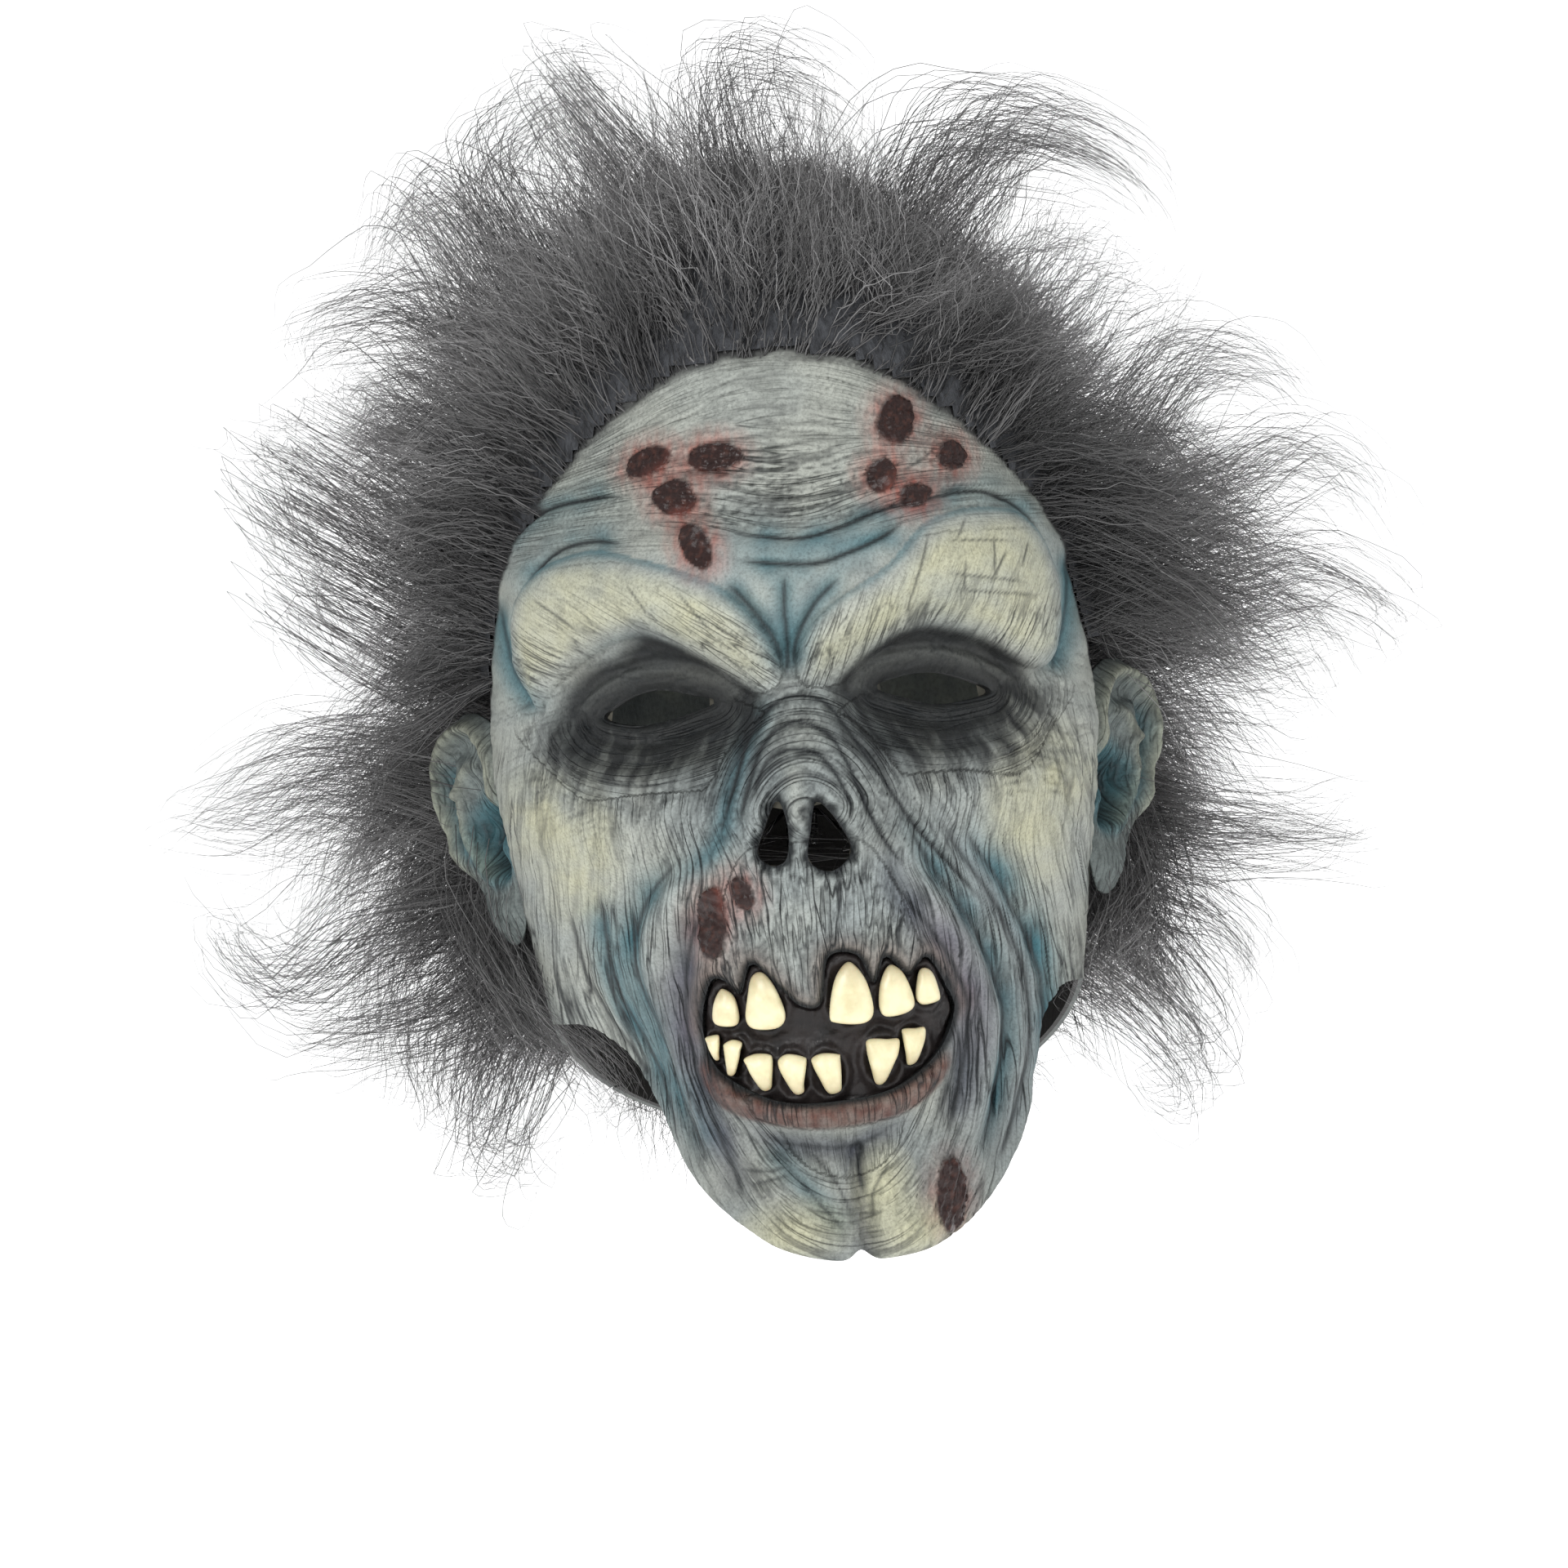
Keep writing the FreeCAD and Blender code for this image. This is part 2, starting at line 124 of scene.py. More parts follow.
def spline(points, closed=False, steps=9):
    """A smooth line through the points."""
    p = np.array(points, float)
    if closed:
        p = np.vstack([p[-1], p, p[0], p[1]])
    else:
        p = np.vstack([2 * p[0] - p[1], p, 2 * p[-1] - p[-2]])
    t = np.linspace(0, 1, steps, endpoint=False)[:, None]
    out = []
    for a, b, c, d in zip(p, p[1:], p[2:], p[3:]):
        out.append(0.5 * (2 * b + (c - a) * t + (2 * a - 5 * b + 4 * c - d) * t ** 2
                          + (3 * b - a - 3 * c + d) * t ** 3))
    out = np.vstack(out)
    return out if closed else np.vstack([out, p[-2]])


def nearest(line, x, z, closed=False):
    """Distance to a line, the nearest point, and how far along it lies, 0 to 1."""
    ends = np.roll(line, -1, 0) if closed else line[1:]
    starts = line if closed else line[:-1]
    best = np.full(x.shape, 1e9)
    qx, qz, where = np.zeros(x.shape), np.zeros(x.shape), np.zeros(x.shape)
    for k, ((ax, az), (bx, bz)) in enumerate(zip(starts, ends)):
        ex, ez = bx - ax, bz - az
        t = np.clip(((x - ax) * ex + (z - az) * ez) / (ex * ex + ez * ez + 1e-12), 0, 1)
        px, pz = ax + t * ex, az + t * ez
        d = np.hypot(x - px, z - pz)
        hit = d < best
        best[hit], qx[hit], qz[hit] = d[hit], px[hit], pz[hit]
        where[hit] = (k + t[hit]) / len(starts)
    return best, qx, qz, where


def within(line, x, z):
    """Which points lie inside a closed line."""
    inside = np.zeros(x.shape, bool)
    for (ax, az), (bx, bz) in zip(line, np.roll(line, -1, 0)):
        if az == bz:
            continue
        crosses = ((az > z) != (bz > z)) & (x < (bx - ax) * (z - az) / (bz - az) + ax)
        inside ^= crosses
    return inside


class Canvas:
    """Points of the face: where they are, how far they are pushed out and how they are painted."""

    def __init__(self, x, z):
        self.x, self.z = x, z
        self.form = np.zeros(x.shape)        # broad relief, mm
        self.fine = np.zeros(x.shape)        # lines and pores, mm
        self.wash = np.zeros(x.shape)        # dark paint that settles in the lines, 0 to 1
        self.line = np.zeros(x.shape)        # dark paint in the main folds, 0 to 1
        self.wet = np.zeros(x.shape)
        self.colour = np.tile(PALE, (len(x), 1))
        self.etch = np.zeros(x.shape)        # how strongly the material etches lines here
        self.grain = np.zeros((len(x), 3))   # and the coordinates they follow: across, along, which

    def box(self, line, reach):
        low, high = line.min(0) - reach, line.max(0) + reach
        return np.flatnonzero((self.x > low[0]) & (self.x < high[0])
                              & (self.z > low[1]) & (self.z < high[1]))

    def stroke(self, points, width, taper=0.2):
        """How near each point is to a line, 0 to 1, fading at the line's ends."""
        line = spline(points)
        near = np.zeros(self.x.shape)
        at = self.box(line, 3 * width)
        d, _, _, t = nearest(line, self.x[at], self.z[at])
        ends = smooth(np.minimum(t, 1 - t), -0.01, taper) if taper else 1.0
        near[at] = np.exp(-(d / width) ** 2) * ends
        return near

    def patch(self, points, soft):
        """A soft-edged closed area, 0 to 1."""
        line = spline(points, closed=True)
        area = np.zeros(self.x.shape)
        at = self.box(line, 2)
        d = nearest(line, self.x[at], self.z[at], closed=True)[0]
        area[at] = np.where(within(line, self.x[at], self.z[at]), np.clip(d / soft, 0, 1), 0)
        return area

    def mound(self, x, z, wide, high, turn=0.0):
        """1 at a centre, falling to 0 at an ellipse's edge."""
        c, s = math.cos(turn), math.sin(turn)
        dx, dz = self.x - x, self.z - z
        return np.clip(1 - np.hypot((dx * c + dz * s) / wide, (dz * c - dx * s) / high), 0, 1)

    def etching(self, across, along, which, amount):
        """Lines of the skin run along one coordinate wherever they are stronger than others."""
        hit = amount > self.etch
        self.etch[hit] = amount[hit]
        self.grain[hit, 0], self.grain[hit, 1], self.grain[hit, 2] = across[hit], along[hit], 37.0 * which

    def soak(self, amount):
        """Dark wash lies here at least this strongly."""
        self.wash = np.maximum(self.wash, amount)

    def fold(self, amount):
        """The dark of a main fold lies here at least this strongly."""
        self.line = np.maximum(self.line, amount)

    def away_from(self, line, span):
        """Distance to a closed line, mm, as far out as the span, and 99 beyond."""
        at = self.box(line, span)
        d = np.full(self.x.shape, FAR)
        d[at] = nearest(line, self.x[at], self.z[at], closed=True)[0]
        return d

    def paint(self, tint, amount):
        self.colour += (tint - self.colour) * np.clip(amount, 0, 1)[:, None]


# Features of the face, in (x, z) mm; -x is the wearer's right ------------------------

EYES = {-1: [(-43, 118), (-37, 122), (-30, 123.2), (-23, 121.6), (-17, 119.5), (-22, 117.6),
             (-29, 116), (-36, 115.6)],
        1: [(19, 119.6), (25, 121.6), (33, 121.8), (40, 119.6), (45, 116.5), (40, 115), (32, 114.6),
            (24, 117)]}
NOSTRILS = [[(-5.5, 96), (-9, 90), (-11, 84.5), (-8, 81.5), (-4.4, 83), (-3.6, 90)],
            [(3.6, 95), (8.6, 89), (10.4, 83), (5.5, 79.2), (0.6, 82), (1.6, 89)]]
MOUTH = [(-27, 47.5), (-24.2, 56.5), (-21, 56.6), (-17.5, 53.5), (-14.4, 60), (-8.5, 54),
         (-4, 49.6), (0.6, 50), (3, 60), (9.5, 60), (12.8, 53.4), (16, 59), (20.8, 54.5), (25.5, 58),
         (29.5, 51), (31.4, 45.5), (26.5, 37), (16, 29.6), (3, 27.6), (-10, 28.4), (-20.5, 33.6),
         (-25.5, 39.5)]
HOLES = [spline(p, True) for p in (EYES[-1], EYES[1], *NOSTRILS, MOUTH)]
BROWS = {-1: [(-59, 150), (-44, 156), (-32, 153), (-20, 148), (-12, 143), (-4, 133), (-1.5, 123),
              (-7, 119), (-15, 124.5), (-25, 131.5), (-35, 135), (-44, 132), (-53, 126), (-59, 122),
              (-63, 135)],
         1: [(1.5, 121), (3, 131), (11, 139), (23, 146), (34, 156), (47, 158.5), (57, 155), (63, 142),
             (62, 125), (54, 121), (42, 128), (30, 131), (20, 127), (9, 119.5)]}
FOREHEAD_FOLDS = [
    [(-16, 160), (-7, 156), (5, 154), (15, 156), (24, 159), (35, 161), (48, 162), (58, 156), (63, 144)],
    [(-13, 151), (-3, 149), (8, 148), (16, 150), (24, 153), (30, 157)],
    [(-65, 158), (-61, 163), (-53, 167), (-43, 168), (-33, 168)],
    [(-62, 146), (-56, 153), (-50, 157), (-42, 158), (-33, 156)],
]
GLABELLA = [[(1, 148), (0, 139), (0, 130), (-1, 122)], [(-14, 147), (-8, 140), (-3, 132), (-1, 125)],
            [(15, 146), (7, 139), (2, 131), (1, 124)]]
TEMPLES = [[(-67, 150), (-66, 138), (-63, 128), (-57, 120)], [(67, 150), (67, 138), (64, 127), (60, 118)]]
NOSE_RINGS = [
    [(-21, 84), (-15, 99), (-10, 111), (-5, 117), (1, 119), (7, 117), (12, 110), (18, 100), (25, 88),
     (34, 76), (41, 66)],
    [(-15, 88), (-12, 98), (-7, 109), (0, 113), (7, 110), (11, 103), (14, 94), (18, 85), (22, 78)],
    [(-11, 97), (-8, 103), (-5, 106), (0, 107), (5, 105), (9, 99), (12, 90)],
]
LEFT_VALLEYS = [(1.9, 2.6, [(17, 86), (20, 75), (27, 64), (32, 54), (34, 44), (33, 36), (30, 26), (27, 15)]),
                (1.7, 2.0, [(21, 93), (28, 79), (37, 64), (42, 49), (42, 37), (38, 23), (33, 9)]),
                (1.4, 1.8, [(28, 95), (36, 79), (44, 64), (48, 49), (47, 33), (42, 17), (36, 7)]),
                (1.3, 1.8, [(34, 90), (45, 71), (52, 53), (52, 37), (47, 20)])]
RIGHT_VALLEYS = [(2.6, 2.6, [(-20, 78), (-27, 69), (-30, 60), (-31, 48), (-29, 37), (-26, 24), (-23, 13),
                             (-20, 4)]),
                 (2.2, 2.8, [(-24, 88), (-36, 78), (-41, 68), (-42, 59), (-40, 48), (-37, 37), (-32, 25),
                             (-27, 13)]),
                 (1.2, 2.2, [(-48, 80), (-48, 68), (-47, 53), (-43, 37), (-37, 22)]),
                 (1.0, 2.0, [(-56, 76), (-54, 60), (-50, 44), (-45, 34)])]
RIDGES = [(2.6, 4.0, [(-19, 84), (-29, 78), (-36, 69), (-37, 59), (-36, 48), (-33, 38), (-28, 25),
                      (-23, 13)]),
          (2.4, 3.0, [(19, 84), (25, 73), (32, 62), (37.5, 50), (38, 38), (34, 23), (30, 11)]),
          (1.6, 3.0, [(33, 84), (42, 68), (47.5, 50), (47, 36), (42, 21)])]
LOWER_LIP = [(-28, 45), (-26, 36), (-19.5, 29), (-7, 25.2), (4, 24.6), (16, 26.4), (25.5, 33), (31, 41)]
UNDER_LIP = [(-22, 27), (-13, 20), (-6, 18), (3, 17), (11, 19), (21, 25)]
CLEFT = [(6, 18), (6, 9), (6.5, -1), (7, -9)]
CHIN_LINES = [[(-16, 20), (-9, 12), (-3, 4), (3, -4)], [(-6, 18), (0, 10), (4, 0)],
              [(8, -1), (9, 7), (14, 14)], [(-22, 14), (-15, 13), (-10, 14)], [(-20, 10), (-9, 12)]]
# x, z, half width, half height, turn
SORES = [(-28, 175, 5.8, 3.2, 0.35), (-13, 174.5, 6.6, 3.6, 0.0), (-22.5, 166, 5.2, 4.4, -0.3),
         (-18.5, 154.5, 3.4, 5.8, 0.35), (29, 180, 4.6, 6.0, -0.25), (24.5, 167, 3.6, 4.2, -0.3),
         (41, 171, 3.4, 3.8, 0.0), (31.5, 162, 4.0, 3.0, 0.3), (-22.5, 70, 3.8, 8.6, -0.12),
         (-15, 76, 2.4, 4.2, 0.35), (26, 3.5, 3.6, 9.4, -0.08)]
SCRATCHES = [[(34, 156), (30, 145), (25, 133)], [(50, 149), (44, 139)], [(55, 151), (52, 143)],
             [(34, 151), (53, 150)], [(34, 140), (59, 137)], [(33, 144), (56, 140)], [(42, 157), (38, 150)],
             [(27, 167), (34, 170), (40, 175)], [(-56, 148), (-44, 137)], [(-34, 148), (-29, 139)],
             [(-24, 146), (-15, 133)], [(40, 148), (39, 137)], [(47, 153), (46, 141)]]


def brows_and_forehead(c):
    for side, outline in BROWS.items():
        area = c.patch(outline, 9.0)
        c.form += 4.2 * np.sqrt(area * (2 - area))
        rim = c.patch(outline, 3.0)
        c.paint(CREAM, 0.92 * smooth(area, 0.1, 0.75) * (0.75 + 0.4 * layered(c.x / 9, c.z / 9, 3)))
        turn = 0.9 if side < 0 else -0.42
        across = c.x * math.cos(turn) + c.z * math.sin(turn)
        along = c.z * math.cos(turn) - c.x * math.sin(turn)
        hairs = cracks(across / 1.9, along / 17, 11 + side, 0.13) * (rim > 0)
        low_edge = smooth(140 - c.z, -4, 12)
        c.fine -= 0.36 * hairs * (0.35 + 0.65 * low_edge)
        c.soak(hairs * (0.4 + 0.6 * low_edge) * (rim > 0))
        c.etching(across, along, 2 + side, (0.3 + 0.7 * low_edge) * rim * smooth(146 - c.z, -14, 6))
        c.paint(TEAL, 0.5 * np.exp(-((area - 0.05) / 0.12) ** 2) * (area > 0) * smooth(c.z, 128, 150))
    for k, points in enumerate(FOREHEAD_FOLDS):
        groove, glow = c.stroke(points, 1.1), c.stroke(points, 4.2)
        c.form += 0.9 * glow - 2.1 * groove
        c.paint(TEAL, 0.62 * glow * (0.8 + 0.5 * noise(c.x / 6, c.z / 5, 30 + k)))
        c.fold(0.9 * c.stroke(points, 0.6))
    for points in GLABELLA:
        c.form -= 2.0 * c.stroke(points, 1.6)
        c.paint(TEAL, 0.6 * c.stroke(points, 3.2))
        c.fold(0.75 * c.stroke(points, 0.75))
    for points in TEMPLES:
        c.form -= 1.5 * c.stroke(points, 2.2)
        c.paint(TEAL, 0.8 * c.stroke(points, 3.6))
        c.fold(0.6 * c.stroke(points, 0.8))
    # long worry lines: they sag between the brows and follow the hairline above
    above = smooth(c.z, 150, 160)
    sag = 7 * np.exp(-((c.x - 4) / 22) ** 2) * (1 - smooth(c.z, 168, 190))
    across = c.z + sag + 0.0085 * c.x ** 2 * smooth(c.z, 160, 188)
    strong = np.exp(-(c.x / 24) ** 2) * np.exp(-((c.z - 166) / 11) ** 2)
    c.etching(across, 0.8 * c.x, 5, above * np.clip(0.42 + 0.6 * strong, 0, 1))
    for fineness, depth, width, seed in ((2.3, 0.6, 0.2, 41), (1.3, 0.35, 0.24, 47), (3.4, 0.8, 0.16, 53)):
        lines = cracks(across / fineness, c.x / 34, seed, width) * above
        c.fine -= depth * lines * (0.6 + 1.0 * strong)
        c.soak(lines * np.clip(0.5 + 0.8 * strong, 0, 1))


def eyes(c):
    for side, outline in EYES.items():
        line = spline(outline, True)
        d = c.away_from(line, 34)
        d[within(line, c.x, c.z)] = 0
        middle_x, middle_z = line.mean(0)
        upper = smooth(c.z, middle_z - 1.5, middle_z + 2)
        turn = np.arctan2(c.z - middle_z, (c.x - middle_x) * side)
        lid = 2.4 + 0.9 * upper
        c.form += 1.7 * np.exp(-((d - 0.5 * lid) / (0.62 * lid)) ** 2)
        c.form += 1.8 * np.exp(-((d - 5.0) / 2.0) ** 2) * upper
        c.form -= 1.5 * np.exp(-((d - 1.9 * lid) / 1.3) ** 2) * (0.5 + 0.5 * upper)
        c.form -= 0.8 * np.exp(-((d - 9) / 1.6) ** 2) * (1 - upper)
        c.form += 1.1 * np.exp(-((d - 12.5) / 2.6) ** 2) * (1 - upper)
        # painted shadow: short above, long streaks below
        slant = c.x * side * 0.5 - c.z
        drift = c.x * side + 0.5 * c.z
        streaks = layered(drift / 3.6, slant / 13, 70 + side)
        below = 1 - smooth(c.z, middle_z - 4, middle_z + 1)
        reach = 15.5 + 8.0 * below - 2.0 * np.abs(np.cos(turn)) + 2.0 * noise(turn * 1.6, d / 30, 60 + side)
        brush = layered(drift / 1.7, slant / 10, 75 + side)
        edge = 0.93 * reach - d + (0.6 + 4.4 * below) * streaks + 2.0 * below * brush
        dark = smooth(edge, -1.2, 5 + 10 * below) ** 0.8
        # a band on the upper lid is left a little less dark: a painted highlight for the gloss of the lid
        dark *= 1 - 0.12 * upper * np.exp(-((d - 4.6) / 1.9) ** 2)
        brow = c.patch(BROWS[side], 3.0)
        c.paint(CHARCOAL, 0.97 * dark * (1 - 0.97 * smooth(brow, 0.2, 0.95)))
        folds = cracks(d / 2.4, turn * 1.3, 80 + side, 0.22) * smooth(25 - d, 0, 8) * (brow == 0)
        c.etching(d, turn * 7, 7 + side, 0.9 * smooth(24 - d, 0, 10) * below * (brow == 0))
        c.fine -= 0.5 * folds
        c.soak(0.75 * folds)
        feet = cracks(c.z / 2.2 + 0.12 * np.abs(c.x), c.x / 12, 90 + side, 0.18) * smooth(34 - d, 0, 12)
        feet = feet * (brow == 0) * (c.z < middle_z + 6) * smooth(c.x * side, 38, 48)
        c.fine -= 0.25 * feet
        c.soak(0.8 * feet)


def nose(c):
    for points in NOSE_RINGS:
        c.form += 1.3 * c.stroke(points, 3.4, 0.12) - 2.0 * c.stroke(points, 1.0, 0.12)
        c.fold(0.9 * c.stroke(points, 0.6, 0.1))
    ring = np.hypot((c.x - 1) / 1.0, (c.z - 84) / 1.55)
    bend = np.arctan2(c.x - 1, c.z - 84)
    area = smooth(33 - ring, 0, 12) * smooth(c.z, 78, 90)
    for fineness, depth, seed in ((2.0, 0.6, 101), (1.2, 0.3, 103)):
        rings = cracks(ring / fineness, bend * 1.5, seed, 0.25)
        c.fine -= depth * rings * area
        c.soak(0.95 * rings * area)
    c.paint(COOL, 0.55 * area)
    c.paint(PALE, 0.6 * c.mound(1, 109, 9, 9))
    for points in NOSTRILS:
        line = spline(points, True)
        at = c.box(line, 9)
        d = c.away_from(line, 9)
        d[at] += 0.8 * layered(c.x[at] / 2.2, c.z[at] / 2.2, 107)
        c.form += 1.5 * np.exp(-((d - 2.4) / 1.2) ** 2) - 2.2 * np.exp(-(d / 1.3) ** 2)
        c.fold(np.exp(-(d / 1.2) ** 2))
    septum = c.stroke([(-0.8, 105), (-1.2, 98), (-1.2, 88)], 2.3, 0.25)
    c.form += 4.2 * septum
    c.paint(PALE, 0.6 * septum)
    c.wash *= 1 - 0.5 * septum
    c.paint(TEAL, 0.72 * c.stroke([(-4, 121), (-10, 111), (-15, 100), (-20, 87), (-35, 75)], 3.0))


def muzzle(c):
    """Folds that flow from the nose round the mouth to the chin, and the fine lines along them."""
    for depth, width, points in RIGHT_VALLEYS + LEFT_VALLEYS:
        c.form -= 1.25 * depth * c.stroke(points, width, 0.15)
        c.fold(0.66 * c.stroke(points, 0.8, 0.12))
    for height, width, points in RIDGES:
        crest = c.stroke(points, width, 0.2)
        c.form += height * crest
        c.paint(CREST, 0.6 * crest)
    for k, (tint, points, width) in enumerate((
            (NAVY, LEFT_VALLEYS[0][2], 4.4), (TEAL, LEFT_VALLEYS[1][2], 3.0),
            (TEAL, LEFT_VALLEYS[3][2], 5.0), (NAVY, RIGHT_VALLEYS[0][2], 4.4),
            (TEAL, RIGHT_VALLEYS[1][2], 4.4), (TEAL, RIGHT_VALLEYS[2][2], 3.4),
            (COOL, LEFT_VALLEYS[2][2], 3.0))):
        c.paint(tint, 0.86 * c.stroke(points, width, 0.2) * (0.8 + 0.4 * noise(c.x / 7, c.z / 9, 120 + k)))
    dx, dz = c.x - 2 - 0.05 * (40 - c.z), c.z - 52
    ring = np.hypot(dx / 35, dz / 62)
    turn = np.arctan2(dx / 35, dz / 62)
    sides = smooth(ring, 0.62, 0.8) * (1 - smooth(c.z, 104, 122)) * smooth(np.abs(dx), 5, 16)
    low = smooth(26 - c.z, 0, 14)
    for fineness, stretch, depth, seed, width in (
            (0.075, 0.8, 0.6, 131, 0.2), (0.036, 0.7, 0.36, 137, 0.26), (0.11, 1.0, 0.7, 133, 0.14)):
        flow = cracks(ring / fineness, turn / stretch, seed, width) * sides * (1 - 0.5 * low)
        uneven = 0.3 + 0.6 * smooth(layered(c.x / 14, c.z / 20, seed + 2), -0.3, 0.6)
        high = 1 - 0.6 * np.exp(-((np.abs(c.x) - 52) / 11) ** 2 - ((c.z - 88) / 14) ** 2)
        c.fine -= depth * flow * uneven * high
        c.soak(0.98 * flow * uneven * high)
    arch = np.hypot(c.x - 1, (c.z - 84) / 1.4)
    blend = smooth(c.z, 76, 96)
    across = 35 * ring * (1 - blend) + arch * blend
    calm = 1 - 0.75 * np.exp(-((np.abs(c.x) - 52) / 12) ** 2 - ((c.z - 90) / 16) ** 2)
    under_eye = 1 - smooth(c.z - 0.25 * np.abs(c.x), 88, 104)
    on_nose = smooth(30 - arch, 0, 8) * blend
    amount = np.maximum(on_nose, smooth(ring, 0.6, 0.7) * under_eye * calm) * (1 - 0.4 * low)
    c.etching(across, 0.7 * c.z + 0.4 * np.abs(c.x), 11, amount)
    # upper lip and chin: lines run down
    lip = (1 - smooth(ring, 0.6, 0.8)) * smooth(c.z, 46, 54) * (1 - smooth(c.z, 80, 92))
    chin = smooth(25 - c.z, 0, 8) * (1 - smooth(np.abs(c.x - 5), 24, 34))
    fan = (c.x - 1) * (1 + 0.010 * (80 - c.z))
    drop = (c.x - 6) * (1 + 0.020 * (20 - c.z))
    c.etching(fan * 0.8, c.z * 1.2, 13, 1.1 * lip)
    c.etching(drop, c.z, 15, 0.5 * chin)
    for area, across, seed, amount in ((lip, fan, 141, 0.95), (chin, drop, 147, 0.35)):
        for fineness, depth in ((1.7, 0.5), (1.0, 0.28)):
            lines = cracks(across / fineness, c.z / 13, seed, 0.24) * area
            c.fine -= depth * lines
            c.soak(amount * lines * 0.9)
            seed += 1
    c.paint(COOL, 0.4 * lip)
    c.paint(MAUVE, 0.45 * np.clip(c.stroke([(-27, 62), (-30, 48), (-27, 34)], 6) +
                                  c.stroke([(22, 72), (31, 58), (34, 44), (31, 32)], 6), 0, 1))


def mouth_and_chin(c):
    lip = c.stroke(LOWER_LIP, 3.1, 0.22)
    c.form += 3.6 * lip - 3.0 * c.stroke(UNDER_LIP, 3.0, 0.25)
    wrinkle = cracks(c.x / 1.1, c.z / 9, 151, 0.25)
    c.fine -= 0.3 * wrinkle * lip
    c.etching(c.x * 0.9, c.z, 17, 0.9 * smooth(lip, 0.3, 0.7))
    c.paint(LIP, 0.95 * smooth(lip, 0.22, 0.62) * (0.86 + 0.2 * noise(c.x / 2, c.z / 2, 153)))
    # navy beneath the lower lip: painted shade under the lip
    c.paint(NAVY, 0.6 * c.stroke(UNDER_LIP, 3.0, 0.25))
    c.fold(0.6 * c.stroke(UNDER_LIP, 0.9, 0.25))
    d = c.away_from(spline(MOUTH, True), 8)
    upper = smooth(c.z, 40, 47)
    c.form += upper * (1.5 * np.exp(-((d - 2.2) / 1.9) ** 2))
    c.form -= 1.4 * np.exp(-(d / 0.9) ** 2)
    c.paint(BRUISE, 0.6 * upper * np.exp(-((d - 1) / 3.0) ** 2))
    c.fold(np.exp(-(d / 1.1) ** 2))
    c.form -= 8.0 * smooth(-c.x, 28, 44) * (1 - smooth(-c.x, 54, 63)) * smooth(64 - c.z, 0, 30)
    for x, z, wide, high in ((-9, -3, 13, 10), (15, -4, 13, 10)):
        c.form += 4.2 * smooth(c.mound(x, z, wide, high), 0, 0.8)
    c.form -= 4.4 * c.stroke(CLEFT, 2.6, 0.1)
    c.paint(NAVY, 0.75 * c.stroke(CLEFT, 2.8, 0.1))
    c.fold(0.8 * c.stroke([(5, 18), (7, 17), (6, 12), (7, 4)], 0.9))
    for points in CHIN_LINES:
        c.form -= 1.1 * c.stroke(points, 1.2)
        c.fold(0.6 * c.stroke(points, 0.5))
    c.paint(TEAL, 0.5 * c.stroke(CHIN_LINES[0], 3.2))
    for x, z, wide, high in ((-10, -1, 15, 9), (17, -3, 14, 9), (11, 7, 9, 12)):
        c.paint(CREAM, 1.25 * c.mound(x, z, wide, high))


def cheeks(c):
    for side in (-1, 1):
        for x, z, wide, high, turn in ((side * 58, 96, 17, 15, 0.0), (side * 51, 84, 11, 17, side * 0.5)):
            patchy = 0.8 + 0.5 * layered(c.x / 8, c.z / 8, 160 + side)
            c.paint(CREAM, 1.15 * c.mound(x, z, wide, high, turn) * patchy)
    c.paint(COOL, 0.5 * smooth(-c.z, -60, -20) * smooth(np.abs(c.x), 26, 40))


def scratches(c):
    for points in SCRATCHES:
        c.fine -= 0.4 * c.stroke(points, 0.6, 0.3)
        c.fold(0.62 * c.stroke(points, 0.36, 0.3))


def sores(c):
    for k, (x, z, wide, high, turn) in enumerate(SORES):
        ragged = 0.08 * layered(c.x / 4.0, c.z / 4.0, 170 + k)
        halo = c.mound(x, z, wide + 5.5, high + 5.5, turn)
        streak = 0.75 + 0.5 * noise(c.x / 1.3, c.z / 3.5, 190)
        c.paint(PINK, 1.5 * halo ** 1.3 * streak * (0.6 if z < 100 else 1.0))
        crust = smooth(c.mound(x, z, wide * 1.25, high * 1.25, turn) + ragged, 0.17, 0.27)
        c.form += 0.9 * crust - 0.9 * np.exp(-((crust - 0.45) / 0.25) ** 2) * (crust > 0.02)
        c.fine += 0.45 * layered(c.x / 1.7, c.z / 1.7, 180 + k) * crust
        c.wash *= 1 - crust
        c.etch *= 1 - crust
        c.paint(SCAB, crust)
        c.paint(LIP, 0.3 * crust * smooth(layered(c.x / 1.5, c.z / 1.5, 184 + k), 0.15, 0.6))
        c.wet = np.maximum(c.wet, crust)


def all_over(c):
    """Blotches first, so that every other layer lies over them."""
    blotch = smooth(layered(c.x / 22, c.z / 22, 201), -0.5, 0.8)
    c.paint(COOL, 0.55 * blotch * (1 - smooth(c.z, 150, 175) * 0.6))
    c.form += 0.35 * layered(c.x / 8, c.z / 8, 203)
    c.fine += 0.06 * noise(c.x / 1.1, c.z / 1.1, 205)


def settle(c):
    """Dark wash in every line and speckle, over the finished colours."""
    speck = smooth(layered(c.x / 1.0, c.z / 1.5, 211), 0.32, 0.7)
    keep = 1 - 0.75 * smooth(c.colour[:, 0], CREAM[0] * 0.72, CREAM[0] * 0.95)
    c.soak(0.36 * speck * keep * (1 - c.wet))
    grime = smooth(layered(c.x / 4.5, c.z / 6.0, 213), -0.1, 0.9)
    c.soak(0.34 * grime * keep * (1 - c.wet))
    # darker towards the chin, below z 66
    c.paint(WASH, 0.14 * (1 - smooth(c.z, 10, 66)) * keep * (1 - c.wet))
    c.paint(WASH, 0.68 * c.wash)
    c.paint(WASH, 0.95 * smooth(c.line, 0.04, 0.92) * (1 - c.wet))


